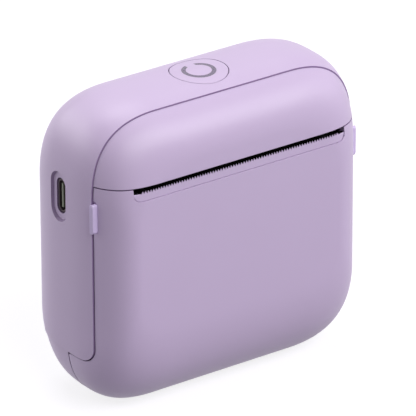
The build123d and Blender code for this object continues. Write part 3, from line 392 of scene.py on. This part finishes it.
@dataclass(frozen=True)
class WoundSheet(Finish):
    """Paper or card wound round an axis along X: its ends show the turns as fine rings.

    Real turns are under 0.1 mm apart, too fine to show, so the rings are drawn a few tenths apart.
    """

    ring_colour: str = "#D9D5CC"
    ring_mm: float = 0.45

    def pattern(self, tree: bpy.types.NodeTree, place: bpy.types.NodeSocket) -> bpy.types.NodeSocket:
        """Gives the height: rings round the roll's axis, uneven like real turns."""
        centred = add_node(tree, "ShaderNodeVectorMath", {"operation": "SUBTRACT"}, {
            0: place, 1: joint_mm("roll_spin") * MM})
        flat = add_node(tree, "ShaderNodeVectorMath", {"operation": "MULTIPLY"}, {
            0: centred.outputs[0], 1: (0.0, 1.0, 1.0)})
        radius = add_node(tree, "ShaderNodeVectorMath", {"operation": "LENGTH"}, {0: flat.outputs[0]})
        return add_node(tree, "ShaderNodeTexNoise", {"noise_dimensions": "1D"}, {
            "W": radius.outputs["Value"], "Scale": 1 / (self.ring_mm * MM), "Detail": 3.0,
            "Roughness": 0.8}).outputs["Fac"]

    def colours(self, tree: bpy.types.NodeTree, place: bpy.types.NodeSocket,
                height: bpy.types.NodeSocket) -> bpy.types.NodeSocket:
        """Gives the colour: slightly darker between turns."""
        return blend(tree, height, linear(self.ring_colour), linear(self.colour))


@dataclass(frozen=True)
class GlazedStrip(Finish):
    """A thermal head's ceramic: white glaze with one dark line of heating dots along X."""

    heater_colour: str = "#3B2A22"
    heater_half_mm: float = 0.25
    glaze_share: float = 0.8
    glaze_roughness: float = 0.06

    def colours(self, tree: bpy.types.NodeTree, place: bpy.types.NodeSocket,
                height: bpy.types.NodeSocket) -> bpy.types.NodeSocket:
        """Gives the colour: dark within the heater line's height, and glaze elsewhere."""
        split = add_node(tree, "ShaderNodeSeparateXYZ", inputs={"Vector": place})
        line = add_node(tree, "ShaderNodeMath", {"operation": "COMPARE"}, {
            0: split.outputs["Z"], 1: joint_mm("platen_spin").z * MM, 2: self.heater_half_mm * MM})
        return blend(tree, line.outputs[0], linear(self.colour), linear(self.heater_colour))

    def finish_shader(self, tree: bpy.types.NodeTree, shader: bpy.types.Node) -> None:
        """Adds the clear glaze."""
        shader.inputs["Coat Weight"].default_value = self.glaze_share
        shader.inputs["Coat Roughness"].default_value = self.glaze_roughness


@dataclass(frozen=True)
class NaturalPlastic(Finish):
    """Undyed gear or connector plastic, which lets a little light into its surface."""

    depth_mm: float = 0.8
    share: float = 0.25
    warmth: tuple[float, float, float] = (1.0, 0.8, 0.5)

    def finish_shader(self, tree: bpy.types.NodeTree, shader: bpy.types.Node) -> None:
        """Lets light in under the surface."""
        shader.inputs["Subsurface Weight"].default_value = self.share
        shader.inputs["Subsurface Radius"].default_value = self.warmth
        shader.inputs["Subsurface Scale"].default_value = self.depth_mm * MM


# Stage and camera


@dataclass
class PhotoCamera:
    """The camera at the photograph's angle, worked out from the printer's outline in it.

    Angles are in degrees. The focal length is in pixels of the photograph, which is frame_px wide.
    """

    azimuth: float = -35.334
    elevation: float = 25.27
    roll: float = -0.243
    distance_mm: float = 1426.135
    focal_px: float = 5520.27
    frame_px: float = 416.0
    aim_right_mm: float = 3.013
    aim_up_mm: float = 2.199
    aim_height_mm: float = 41.9
    sensor_mm: float = 36.0
    nearest_m: float = 0.05
    farthest_m: float = 20.0

    def build(self) -> None:
        """Adds the camera and makes it the scene's."""
        roll = math.radians(self.roll)
        back = direction(self.azimuth, self.elevation)
        right = (-back).cross(Vector((0, 0, 1))).normalized()
        up = right.cross(-back)
        place = back * self.distance_mm + right * self.aim_right_mm + up * self.aim_up_mm
        place.z += self.aim_height_mm
        side = right * math.cos(roll) + up * math.sin(roll)
        top = up * math.cos(roll) - right * math.sin(roll)
        data = bpy.data.cameras.new("photo_camera")
        data.sensor_width = self.sensor_mm
        data.lens = self.sensor_mm * self.focal_px / self.frame_px
        data.clip_start, data.clip_end = self.nearest_m, self.farthest_m
        camera = bpy.data.objects.new("photo_camera", data)
        bpy.context.scene.collection.objects.link(camera)
        turned = Matrix((side, top, back)).transposed().to_4x4()
        camera.matrix_world = Matrix.Translation(place * MM) @ turned
        bpy.context.scene.camera = camera


@dataclass
class Lamp:
    """A soft square lamp that points at the printer, with angles in degrees and lengths in metres."""

    name: str
    azimuth: float
    elevation: float
    strength: float
    size: float = 0.7
    distance: float = 1.2
    aim_height: float = 0.042

    def build(self) -> None:
        """Adds the lamp; its strength is what a white card facing it would return."""
        back = direction(self.azimuth, self.elevation)
        data = bpy.data.lights.new(self.name, "AREA")
        data.shape = "SQUARE"
        data.size = self.size
        data.energy = self.strength * math.pi ** 2 * self.distance ** 2
        lamp = bpy.data.objects.new(self.name, data)
        bpy.context.scene.collection.objects.link(lamp)
        lamp.location = back * self.distance + Vector((0, 0, self.aim_height))
        lamp.rotation_euler = back.to_track_quat("Z", "Y").to_euler()


@dataclass
class Stage:
    """The pale floor, the white surroundings and the lamps."""

    floor_half_m: float = 3.0
    floor_colour: str = "#95939A"
    floor_glow: float = 0.8
    ambient: str = "#F4F2FA"
    ambient_strength: float = 0.04
    lamps: list[Lamp] = field(default_factory=lambda: [
        Lamp("rear_softbox", azimuth=162, elevation=66, strength=0.37),
        Lamp("front_softbox", azimuth=-5, elevation=42, strength=0.40),
        Lamp("key_softbox", azimuth=35, elevation=42, strength=0.45),
        Lamp("right_softbox", azimuth=68, elevation=20, strength=0.14),
        Lamp("left_softbox", azimuth=-126, elevation=22, strength=0.20),
        Lamp("left_rear_softbox", azimuth=-155, elevation=25, strength=0.29),
    ])

    def build(self) -> None:
        """Adds the floor, the world and the lamps."""
        self.build_floor()
        self.build_world()
        for lamp in self.lamps:
            lamp.build()
        bpy.context.scene.view_settings.view_transform = "Standard"

    def build_floor(self) -> None:
        """Adds the floor, which glows a little for the camera so that it reads as white paper."""
        bpy.ops.mesh.primitive_plane_add(size=2 * self.floor_half_m, location=(0, 0, 0))
        floor = bpy.context.object
        floor.name = "floor"
        material, tree = new_tree("white paper sweep")
        glow = add_node(tree, "ShaderNodeMath", {"operation": "MULTIPLY"}, {
            0: seen_directly(tree), 1: self.floor_glow})
        paper = add_node(tree, "ShaderNodeBsdfDiffuse", inputs={"Color": linear(self.floor_colour)})
        shine = add_node(tree, "ShaderNodeEmission", inputs={"Strength": glow.outputs[0]})
        both = add_node(tree, "ShaderNodeAddShader", inputs={0: paper.outputs[0], 1: shine.outputs[0]})
        add_node(tree, "ShaderNodeOutputMaterial", inputs={"Surface": both.outputs[0]})
        floor.data.materials.append(material)

    def build_world(self) -> None:
        """Makes the surroundings white to the camera, and an even soft light to the rest."""
        world = bpy.data.worlds.new("studio")
        bpy.context.scene.world = world
        world.use_nodes = True
        tree = world.node_tree
        tree.nodes.clear()
        soft = add_node(tree, "ShaderNodeBackground", inputs={
            "Color": linear(self.ambient), "Strength": self.ambient_strength})
        white = add_node(tree, "ShaderNodeBackground", inputs={"Strength": 1.0, "Color": linear("#FFFFFF")})
        mix = add_node(tree, "ShaderNodeMixShader", inputs={
            0: seen_directly(tree), 1: soft.outputs[0], 2: white.outputs[0]})
        add_node(tree, "ShaderNodeOutputWorld", inputs={"Surface": mix.outputs[0]})


# Finishes of this printer

# Lavender ABS, moulded: satin and even, its spark-eroded grain only just felt.
SHELL = ErodedPlastic("lavender ABS, spark-eroded mould", "#CEBADC", roughness=0.42, grain_mm=0.35,
                      grain_depth_mm=0.006, tint=0.012, specular=0.6, edge_mm=0.2)
# The same ABS, polished, on the finger tabs: its colour is painted lighter than the shell's, a painted
# highlight over the whole tab.
TAB_LIGHTER = ErodedPlastic("lavender ABS, polished, painted lighter", "#DAC7F0", roughness=0.3, grain_mm=0.35, grain_depth_mm=0.003,
                    tint=0.012, specular=0.6, edge_mm=0.2)
# Black PC/ABS, moulded: keeps the inside dark behind the slot.
FRAME = ErodedPlastic("black PC/ABS, moulded", "#121113", roughness=0.55, grain_mm=0.4, grain_depth_mm=0.01)
# Smoked polycarbonate, inlaid: a smooth grey light ring.
RING = Finish("smoked polycarbonate, inlaid", "#756A82", roughness=0.28, tint=0.02)
# Ground steel: shafts and pins with fine marks round them.
GROUND_STEEL = LinedMetal("steel, ground", "#A2A2A6", roughness=0.3, grain_mm=0.12, grain_depth_mm=0.003)
# Nickel-plated steel: screws, brighter and smoother.
NICKEL = Finish("steel, nickel plated", "#B9B6AE", roughness=0.24, metallic=1.0, grain_mm=0.2,
                grain_depth_mm=0.002)
# Spring steel: blued strip with rolling marks along it.
SPRING_STEEL = LinedMetal("spring steel, rolled", "#6F747C", roughness=0.35, grain_mm=0.25, turned=False)
# Blackened steel: the socket's shell, dark in its port.
BLACK_STEEL = LinedMetal("steel, blackened", "#5C5258", roughness=0.5, grain_mm=0.2, turned=False)
# Milled aluminium: the head's heat sink with cutter marks along it.
ALUMINIUM = LinedMetal("aluminium, milled", "#C6C8CC", roughness=0.36, grain_mm=0.3, grain_depth_mm=0.006,
                       turned=False)
# Silicone rubber, ground: dull black with rings from the grinding wheel.
RUBBER = LinedMetal("silicone rubber, ground", "#080708", roughness=0.95, grain_mm=0.18, grain_depth_mm=0.01,
                    metallic=0.0, tint=0.25, specular=0.05)
# Acetal, undyed: waxy white gears.
ACETAL = NaturalPlastic("acetal, natural", "#E8E3D6", roughness=0.34, tint=0.02)
# Acetal, black: the bushings and gear behind the slot.
BLACK_ACETAL = Finish("acetal, black", "#141315", roughness=0.45, grain_depth_mm=0.003)
# Painted seam shade, plum: a dull dark colour on the walls inside every seam, painted shade in place of the
# shade that falls there.
SEAM_SHADE = Finish("painted seam shade, plum", "#9A82AC", roughness=0.95, grain_mm=0.25, grain_depth_mm=0.02, specular=0.1)
# Painted slot shade, black: near-black on the slot's throat and the strip's back, painted shade for the dark
# inside the slot.
SLOT_SHADE = Finish("painted slot shade, black", "#0B090B", roughness=1.0, grain_mm=0.2, grain_depth_mm=0.03, specular=0.05)
# The shell's plastic in the socket's recess: duller, and painted darker as painted shade in the recess.
RECESS_SHADE = ErodedPlastic("lavender ABS, painted recess shade", "#907C9E", roughness=0.6, grain_mm=0.35,
                       grain_depth_mm=0.006, tint=0.03)
# Liquid-crystal polymer, grey-green: the socket's tongue.
TONGUE = Finish("liquid-crystal polymer, grey", "#858A78", roughness=0.5, grain_depth_mm=0.003)
# Nylon, undyed: the ivory connector and the switch's plunger.
NYLON = NaturalPlastic("nylon, natural", "#E2D9BF", roughness=0.42, tint=0.03)
# Glazed alumina: white, glossy, with the heating line.
CERAMIC = GlazedStrip("alumina, glazed", "#DDDAD2", roughness=0.2, tint=0.01)
# Glass-epoxy board under a green mask: lighter tracks and pale round vias show through.
BOARD = PrintedBoard("glass-epoxy board, green mask", "#1D5632", roughness=0.3, grain_depth_mm=0.035)
# Epoxy, moulded: matt black on the chips, the paper sensor and the switch.
CHIP = Finish("epoxy, black, moulded", "#17171A", roughness=0.6, grain_mm=0.15, grain_depth_mm=0.006)
# Polyimide film over copper lines: amber, with a fine lighter stripe over each line.
FLEX = FlexCable("polyimide film on copper", "#A9651B", roughness=0.25, grain_depth_mm=0.03)
# Aluminium pouch foil: dull silver with soft dents.
POUCH = PouchFoil("aluminium pouch foil", "#A9ABB0", roughness=0.38, metallic=0.6, grain_depth_mm=0.25)
# Thermal paper, coated: white and smooth, with the roll's turns in its ends.
PAPER = WoundSheet("thermal paper, wound", "#F0EEE8", roughness=0.55, grain_depth_mm=0.03)
# Kraft card, spiral wound: brown, with coarser rings.
CARD = WoundSheet("kraft card, wound", "#AD8F66", roughness=0.82, ring_colour="#8A6D48", ring_mm=0.8,
                  grain_depth_mm=0.05)
# Drawn steel can, nickel plated: the motor, bright with faint drawing marks round it.
CAN = LinedMetal("steel can, drawn, nickel plated", "#B3B0A8", roughness=0.26, grain_mm=0.3)
# Gold-plated copper: contacts that glint in the dark port.
GOLD = Finish("copper, gold plated", "#D9B25A", roughness=0.22, metallic=1.0, grain_mm=0.1,
              grain_depth_mm=0.001)


# Work on meshes


def deselect() -> None:
    """Clears the selection, so that an operator acts only on what is picked next."""
    for thing in list(bpy.context.selected_objects):
        thing.select_set(False)


def pick(thing: bpy.types.Object) -> None:
    """Makes one object the only one selected, and the active one."""
    deselect()
    thing.select_set(True)
    bpy.context.view_layer.objects.active = thing


@contextmanager
def editing(piece: bpy.types.Object, kind: str) -> Iterator[bmesh.types.BMesh]:
    """Opens a piece for editing with nothing picked, and closes it again at the end.

    Args:
        piece: The piece to work on.
        kind: What is picked in it: VERT, EDGE or FACE.

    Yields:
        The piece's mesh, for finding what to pick.
    """
    pick(piece)
    bpy.ops.object.mode_set(mode="EDIT")
    bpy.ops.mesh.select_mode(type=kind)
    bpy.ops.mesh.select_all(action="DESELECT")
    yield bmesh.from_edit_mesh(piece.data)
    bpy.ops.mesh.select_all(action="DESELECT")
    bpy.ops.object.mode_set(mode="OBJECT")


def merged_copy(node: str) -> bpy.types.Object:
    """Makes a welded copy of a CAD node, which stands for it.

    Args:
        node: The CAD node's name.

    Returns:
        The new piece.
    """
    source = frame["nodes"][node]
    piece = source.copy()
    piece.data = source.data.copy()
    piece.parent = None
    piece.name = node + "_dressed"
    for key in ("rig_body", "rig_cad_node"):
        if key in piece:
            del piece[key]
    bpy.context.scene.collection.objects.link(piece)
    with editing(piece, "VERT"):
        bpy.ops.mesh.select_all(action="SELECT")
        bpy.ops.mesh.customdata_custom_splitnormals_clear()
        bpy.ops.mesh.remove_doubles(threshold=WELD_MM * MM)
        bpy.ops.mesh.dissolve_degenerate(threshold=WELD_MM / 2 * MM)
    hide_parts(node)
    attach(piece, body_of(node))
    return piece


def round_edges(piece: bpy.types.Object, width_mm: float, where: Callable[[list[Vector]], bool],
                sharper_than: float = 40.0, segments: int = 3) -> None:
    """Rounds the sharp edges of a piece that a test picks out.

    Args:
        piece: The piece to work on.
        width_mm: How wide the rounding is.
        where: Takes the normals of an edge's faces, and says whether the edge is rounded.
        sharper_than: From what angle between its faces an edge counts as sharp, in degrees.
        segments: How many strips a rounding has.
    """
    least = math.radians(sharper_than)
    with editing(piece, "EDGE") as mesh:
        for edge in mesh.edges:
            if len(edge.link_faces) == 2 and edge.calc_face_angle(0.0) > least:
                edge.select = where([face.normal for face in edge.link_faces])
        bmesh.update_edit_mesh(piece.data)
        bpy.ops.mesh.bevel(offset=width_mm * MM, segments=segments, affect="EDGES", clamp_overlap=True)


def apply_modifier(piece: bpy.types.Object, kind: str, settings: dict[str, object]) -> None:
    """Works a modifier into a piece's mesh.

    Args:
        piece: The piece to work on.
        kind: Blender's name of the modifier type.
        settings: The modifier's attributes.
    """
    pick(piece)
    bpy.ops.object.modifier_add(type=kind)
    modifier = piece.modifiers[-1]
    for name, value in settings.items():
        setattr(modifier, name, value)
    bpy.ops.object.modifier_apply(modifier=modifier.name)


def soften(piece: bpy.types.Object, grid_mm: float, passes: int) -> None:
    """Rounds a piece all over, as polishing does.

    Args:
        piece: The piece to work on.
        grid_mm: The grid that it is laid out on afresh first.
        passes: How many times its points are evened out.
    """
    apply_modifier(piece, "REMESH", {"mode": "VOXEL", "voxel_size": grid_mm * MM})
    apply_modifier(piece, "SMOOTH", {"factor": 0.5, "iterations": passes})


def smooth(piece: bpy.types.Object, angle: float = 32.0) -> None:
    """Shades a piece smooth, apart from edges sharper than an angle in degrees."""
    pick(piece)
    bpy.ops.object.shade_smooth_by_angle(angle=math.radians(angle))


def dress(piece: bpy.types.Object, finish: Finish) -> None:
    """Gives a piece one finish all over."""
    piece.data.materials.clear()
    piece.data.materials.append(finish.material())


def shift(piece: bpy.types.Object, by_mm: tuple[float, float, float],
          where: Callable[[Vector, Vector], bool]) -> None:
    """Moves the faces that a test picks out, with what hangs on them.

    Args:
        piece: The piece to work on.
        by_mm: How far they move.
        where: Takes a face's middle and normal, and says whether it moves.
    """
    with editing(piece, "FACE") as mesh:
        for face in mesh.faces:
            face.select = where(face.calc_center_median(), face.normal)
        bmesh.update_edit_mesh(piece.data)
        bpy.ops.transform.translate(value=tuple(Vector(by_mm) * MM))


def paint(piece: bpy.types.Object, finish: Finish, where: Callable[[Vector, Vector], bool]) -> None:
    """Gives the faces that a test picks out a finish of their own.

    Args:
        piece: The piece to work on.
        finish: The other finish.
        where: Takes a face's middle and normal, and says whether it gets the finish.
    """
    piece.data.materials.append(finish.material())
    for face in piece.data.polygons:
        if where(face.center, face.normal):
            face.material_index = len(piece.data.materials) - 1


def stretch(piece: bpy.types.Object, factor: float, height_mm: float,
            where: Callable[[Vector], bool]) -> None:
    """Makes the points that a test picks out taller or lower about a height.

    Args:
        piece: The piece to work on.
        factor: How many times as tall they become.
        height_mm: The height that stays.
        where: Takes a point, and says whether it moves.
    """
    with editing(piece, "VERT") as mesh:
        for vertex in mesh.verts:
            vertex.select = where(vertex.co)
        bmesh.update_edit_mesh(piece.data)
        bpy.ops.transform.resize(value=(1.0, 1.0, factor), center_override=(0.0, 0.0, height_mm * MM))


def nearby_faces(thing: bpy.types.Object) -> BVHTree:
    """Makes a search tree of a thing's faces."""
    points = [point.co for point in thing.data.vertices]
    return BVHTree.FromPolygons(points, [face.vertices for face in thing.data.polygons])


def shade_gaps(piece: bpy.types.Object, trees: list[BVHTree], reach_mm: float,
              clear_mm: float = 0.02, tilts: tuple[float, ...] = (0.0, 0.6, -0.6)) -> None:
    """Paints shade on every face that looks at another wall close by, in the plum seam colour.

    Args:
        piece: The piece to work on.
        trees: The faces that it may look at.
        reach_mm: How near the other wall has to be.
        clear_mm: How far in front of the face the look starts.
        tilts: How far up or down it looks, as a share of straight ahead.
    """
    piece.data.materials.append(SEAM_SHADE.material())
    for face in piece.data.polygons:
        start = face.center + face.normal * clear_mm * MM
        ways = [(face.normal + Vector((0.0, 0.0, tilt))).normalized() for tilt in tilts]
        near = any(tree.ray_cast(start, way, reach_mm * MM)[0] for tree in trees for way in ways)
        face.material_index = int(near)


# Sub-assemblies


@dataclass
class SubAssembly:
    """A group of the printer's parts that belong together, each with its finish."""

    finishes: dict[str, Finish] = field(default_factory=dict)

    def dress_nodes(self) -> None:
        """Gives each CAD node of the group its finish."""
        for name, finish in self.finishes.items():
            dress(frame["nodes"][name], finish)

    def build(self) -> list[bpy.types.Object]:
        """Builds the group's own pieces; a plain group has none."""
        return []


@dataclass
class OuterShells(SubAssembly):
    """The lavender mouldings, with painted shade where their edges meet."""

    finishes: dict[str, Finish] = field(default_factory=lambda: {
        name: SHELL for name in ("wrap_shell", "base_shell", "front_upper_panel", "paper_cover")})
    neighbours: tuple[str, ...] = ("power_button", "opening_tab_left", "opening_tab_right")
    shade_reach_mm: float = 1.0
    recess_margin_mm: float = 3.5
    recess_inner_mm: float = -38.0
    recess_turned: float = -0.93
    throat_end_mm: float = 0.4
    throat_rise_mm: float = 0.6
    throat_depth_mm: float = 0.9
    throat_turned: float = 0.5

    def build(self) -> list[bpy.types.Object]:
        """Makes the four shells.

        Returns:
            The shells, with their facing edges sealed.
        """
        shells = {name: merged_copy(name) for name in self.finishes}
        trees = [nearby_faces(frame["nodes"][name]) for name in (*self.finishes, *self.neighbours)]
        for shell in shells.values():
            smooth(shell)
            dress(shell, SHELL)
            # Painted shade on the faces that look into the seams
            shade_gaps(shell, trees, self.shade_reach_mm)
        # Painted shade on the walls and floor of the socket's recess
        self.shade_recess(shells["wrap_shell"])
        # Painted shade in near-black on the cover's faces in the slot's throat
        self.shade_throat(shells["paper_cover"])
        return list(shells.values())

    def shade_recess(self, shell: bpy.types.Object) -> None:
        """Gives the walls and floor of the recess round the charging socket their duller finish, painted
        darker as painted shade.
        """
        low, high = node_box("usb_socket")
        margin = self.recess_margin_mm * MM
        paint(shell, RECESS_SHADE, lambda middle, normal: (
            middle.x < self.recess_inner_mm * MM and normal.x > self.recess_turned
            and low.y - margin < middle.y < high.y + margin
            and low.z - margin < middle.z < high.z + margin))

    def shade_throat(self, shell: bpy.types.Object) -> None:
        """Paints shade in near-black on the cover's faces behind the serrated strip."""
        low, high = node_box("tear_bar")
        paint(shell, SLOT_SHADE, lambda middle, normal: (
            abs(middle.x) < high.x - self.throat_end_mm * MM and middle.z > low.z + self.throat_rise_mm * MM
            and middle.y > low.y + self.throat_depth_mm * MM and normal.y < self.throat_turned))


@dataclass
class SlotAndTabs(SubAssembly):
    """The serrated strip under the slot, with painted shade on its back, and the two finger tabs, painted
    lighter.
    """

    finishes: dict[str, Finish] = field(default_factory=lambda: {
        "tear_bar": SHELL, "opening_tab_left": TAB_LIGHTER, "opening_tab_right": TAB_LIGHTER})
    teeth_end_mm: float = 31.0
    tooth_root_mm: float = 64.2
    tooth_heel_mm: float = 63.8
    tooth_thinned_mm: float = 0.27
    tooth_stretch: float = 1.4
    tooth_middle_mm: float = 64.45
    shoulder_mm: float = 65.2
    shoulder_flattened: float = 0.25
    shoulder_lowered_mm: float = 0.6
    level_mm: float = 0.02
    facing: float = 0.8
    flat: float = 0.9
    dark_from: float = 0.5
    tab_face_mm: float = 41.0
    tab_raised_mm: float = 0.45
    tab_grid_mm: float = 0.12
    tab_passes: int = 10

    def build(self) -> list[bpy.types.Object]:
        """Makes the strip and the tabs."""
        return [self.strip(), self.tab("opening_tab_left", -1), self.tab("opening_tab_right", 1)]

    def strip(self) -> bpy.types.Object:
        """Makes the strip, with its teeth thinner and taller and its two ends lower than in the CAD model,
        and painted shade in near-black on its back and top faces.
        """
        bar = merged_copy("tear_bar")
        shift(bar, (0.0, -self.tooth_thinned_mm, 0.0), lambda middle, normal: (
            normal.y > self.facing and middle.z > self.tooth_heel_mm * MM
            and abs(middle.x) < self.teeth_end_mm * MM))
        shift(bar, (0.0, 0.0, -self.shoulder_lowered_mm), lambda middle, normal: (
            normal.z > self.flat and middle.z > self.shoulder_mm * MM))
        stretch(bar, self.shoulder_flattened, self.tooth_root_mm, lambda point: (
            point.z > self.tooth_root_mm * MM and abs(point.x) > self.teeth_end_mm * MM))
        stretch(bar, self.tooth_stretch, self.tooth_middle_mm, lambda point: (
            point.z > (self.tooth_root_mm - self.level_mm) * MM and abs(point.x) < self.teeth_end_mm * MM))
        smooth(bar)
        dress(bar, SHELL)
        # Painted shade: the strip's back and top faces go near-black
        paint(bar, SLOT_SHADE, lambda middle, normal: normal.y > self.dark_from or normal.z > self.flat)
        return bar

    def tab(self, name: str, side: int) -> bpy.types.Object:
        """Makes one finger tab, raised and well rounded, its colour painted lighter as painted highlight.

        Args:
            name: Its CAD node.
            side: -1 for the left tab and 1 for the right one.

        Returns:
            The tab.
        """
        tab = merged_copy(name)
        shift(tab, (side * self.tab_raised_mm, 0.0, 0.0), lambda middle, normal: (
            normal.x * side > self.flat and middle.x * side > self.tab_face_mm * MM))
        soften(tab, self.tab_grid_mm, self.tab_passes)
        smooth(tab)
        # Painted highlight: the tab's colour is lighter than the shell's
        dress(tab, TAB_LIGHTER)
        return tab


@dataclass
class PowerButton(SubAssembly):
    """The round button in the top, its light ring, and the switch under it."""

    finishes: dict[str, Finish] = field(default_factory=lambda: {
        "power_button": SHELL, "button_ring_mark": RING, "button_board": BOARD, "tact_switch": CHIP,
        "switch_plunger": NYLON, "button_board_screws": NICKEL})
    rim_mm: float = 0.12
    upward: float = 0.8

    def build(self) -> list[bpy.types.Object]:
        """Makes the button with a fine rounding round its face."""
        piece = merged_copy("power_button")
        round_edges(piece, self.rim_mm, lambda normals: any(normal.z > self.upward for normal in normals))
        smooth(piece)
        dress(piece, SHELL)
        return [piece]


@dataclass
class UsbPort(SubAssembly):
    """The charging socket in the left side, with gold contacts on both faces of its tongue."""

    finishes: dict[str, Finish] = field(default_factory=lambda: {
        "usb_socket": BLACK_STEEL, "usb_tongue": TONGUE})
    tongue_forward_mm: float = 0.65
    pitch_mm: float = 0.5
    per_side: int = 12
    contact_width_mm: float = 0.26
    contact_length_mm: float = 3.6
    contact_thickness_mm: float = 0.06
    contact_proud: float = 0.3
    contact_set_back_mm: float = 0.4
    contact_edge_mm: float = 0.02
    flat: float = 0.9

    def build(self) -> list[bpy.types.Object]:
        """Makes the tongue and its contacts."""
        return [self.tongue(), self.contacts()]

    def tongue(self) -> bpy.types.Object:
        """Makes the tongue, whose end stands a little further out than in the CAD model."""
        tongue = merged_copy("usb_tongue")
        shift(tongue, (-self.tongue_forward_mm, 0.0, 0.0), lambda middle, normal: normal.x < -self.flat)
        smooth(tongue)
        dress(tongue, TONGUE)
        return tongue

    def contact_places(self) -> list[Vector]:
        """Gives the middle of each contact, one row on each face of the tongue."""
        low, high = node_box("usb_tongue")
        along = low.x + (self.contact_length_mm / 2 + self.contact_set_back_mm) * MM
        lift = self.contact_proud * self.contact_thickness_mm * MM
        rises = [(i - (self.per_side - 1) / 2) * self.pitch_mm * MM for i in range(self.per_side)]
        return [Vector((along, face, (low.z + high.z) / 2 + rise))
                for face in (low.y - lift, high.y + lift) for rise in rises]

    def contacts(self) -> bpy.types.Object:
        """Makes the two rows of contacts as one piece."""
        deselect()
        bpy.ops.mesh.primitive_cube_add(size=1.0, location=(0, 0, 0))
        strip = bpy.context.object
        strip.name = "usb_contacts"
        strip.scale = Vector((self.contact_length_mm, self.contact_thickness_mm, self.contact_width_mm)) * MM
        bpy.ops.object.transform_apply(location=False, rotation=False, scale=True)
        with editing(strip, "EDGE"):
            bpy.ops.mesh.select_all(action="SELECT")
            bpy.ops.mesh.bevel(offset=self.contact_edge_mm * MM, segments=1, affect="EDGES")
        first, *others = self.contact_places()
        strip.location = first
        for place in others:
            copy = strip.copy()
            copy.data = strip.data.copy()
            bpy.context.scene.collection.objects.link(copy)
            copy.location = place
            copy.select_set(True)
        bpy.ops.object.join()
        bpy.ops.object.transform_apply(location=True, rotation=True, scale=True)
        dress(strip, GOLD)
        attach(strip, body_of("usb_tongue"))
        return strip


@dataclass
class PaperPath(SubAssembly):
    """The roll on its core, the bay, the liner, and the paper that leads up to the head."""

    finishes: dict[str, Finish] = field(default_factory=lambda: {
        "paper_roll": PAPER, "roll_core": CARD, "paper_bay": FRAME, "cover_liner": FRAME,
        "paper_sensor": CHIP, "liner_screws": NICKEL})
    roll_radius_mm: float = 15.0
    platen_radius_mm: float = 4.0
    below_nip_mm: float = 1.5
    half_width_mm: float = 26.0
    thickness_mm: float = 0.08
    level_mm: float = 0.01
    last_turn: tuple[float, ...] = (-24.0, -16.0, -8.0, 0.0)

    def leader_points(self) -> list[Vector]:
        """Gives the paper's middle line, from its last turn on the roll to just under the head's line."""
        roll, platen = joint_mm("roll_spin"), joint_mm("platen_spin")
        nip = platen + Vector((0.0, self.platen_radius_mm, -self.below_nip_mm))
        across, up = roll.y - nip.y, nip.z - roll.z
        lean = math.asin(self.roll_radius_mm / math.hypot(across, up)) - math.atan2(across, up)
        radius = self.roll_radius_mm + self.thickness_mm
        angles = [lean + math.radians(degrees) for degrees in self.last_turn]
        turn = [roll + Vector((0.0, -math.cos(angle), math.sin(angle))) * radius for angle in angles]
        return [point * MM for point in (*turn, nip)]

    def build(self) -> list[bpy.types.Object]:
        """Makes the sheet that leads from the roll to the head."""
        start, end, *others = self.leader_points()
        deselect()
        bpy.ops.mesh.primitive_plane_add(size=1.0, location=(0, 0, 0))
        sheet = bpy.context.object
        sheet.name = "paper_leader"
        with editing(sheet, "EDGE") as mesh:
            for vertex in mesh.verts:
                side = Vector((math.copysign(self.half_width_mm * MM, vertex.co.x), 0.0, 0.0))
                vertex.co = side + (end if vertex.co.y > 0 else start)
            bmesh.update_edit_mesh(sheet.data)
            for point in others:
                mesh = bmesh.from_edit_mesh(sheet.data)
                for edge in mesh.edges:
                    edge.select = all(abs(v.co.z - end.z) < self.level_mm * MM for v in edge.verts)
                bmesh.update_edit_mesh(sheet.data)
                bpy.ops.mesh.extrude_region_move(TRANSFORM_OT_translate={"value": tuple(point - end)})
                end = point
            bpy.ops.mesh.select_all(action="SELECT")
            bpy.ops.mesh.normals_make_consistent(inside=False)
        apply_modifier(sheet, "SOLIDIFY", {"thickness": self.thickness_mm * MM, "offset": 0.0})
        smooth(sheet)
        dress(sheet, PAPER)
        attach(sheet, "body")
        return [sheet]


@dataclass
class PrintMechanism(SubAssembly):
    """The head, the platen and the gears between the platen and the motor."""

    finishes: dict[str, Finish] = field(default_factory=lambda: {
        "mechanism_frame": FRAME, "head_heat_sink": ALUMINIUM, "head_ceramic": CERAMIC,
        "head_pins": GROUND_STEEL, "head_spring": SPRING_STEEL, "head_flex": FLEX,
        "platen_shaft": GROUND_STEEL, "platen_roller": RUBBER, "platen_gear": BLACK_ACETAL,
        "platen_bushings": BLACK_ACETAL, "idler_gear": ACETAL, "compound_gear": ACETAL,
        "gear_axles": GROUND_STEEL, "gear_clip": SPRING_STEEL, "stepper_motor": CAN,
        "motor_shaft": GROUND_STEEL, "motor_pinion": ACETAL})


@dataclass
class Electronics(SubAssembly):
    """The main board with its chips and the head's connector, and the battery."""

    finishes: dict[str, Finish] = field(default_factory=lambda: {
        "main_board": BOARD, "board_chips": CHIP, "flex_connector": NYLON, "battery_pack": POUCH})


@dataclass
class Fasteners(SubAssembly):
    """Screws and hinge pins."""

    finishes: dict[str, Finish] = field(default_factory=lambda: {
        "frame_screws": NICKEL, "base_screws": NICKEL, "motor_screws": NICKEL, "board_screws": NICKEL,
        "hinge_pins": GROUND_STEEL})


def main() -> None:
    """Builds everything in order and reports each piece."""
    PhotoCamera().build()
    Stage().build()
    for part in (OuterShells(), SlotAndTabs(), PowerButton(), UsbPort(), PaperPath(), PrintMechanism(),
                 Electronics(), Fasteners()):
        part.dress_nodes()
        for piece in part.build():
            log.info("%s: %d faces", piece.name, len(piece.data.polygons))


if __name__ == "__main__":
    logging.basicConfig(level=logging.INFO, format="%(message)s")
    main()
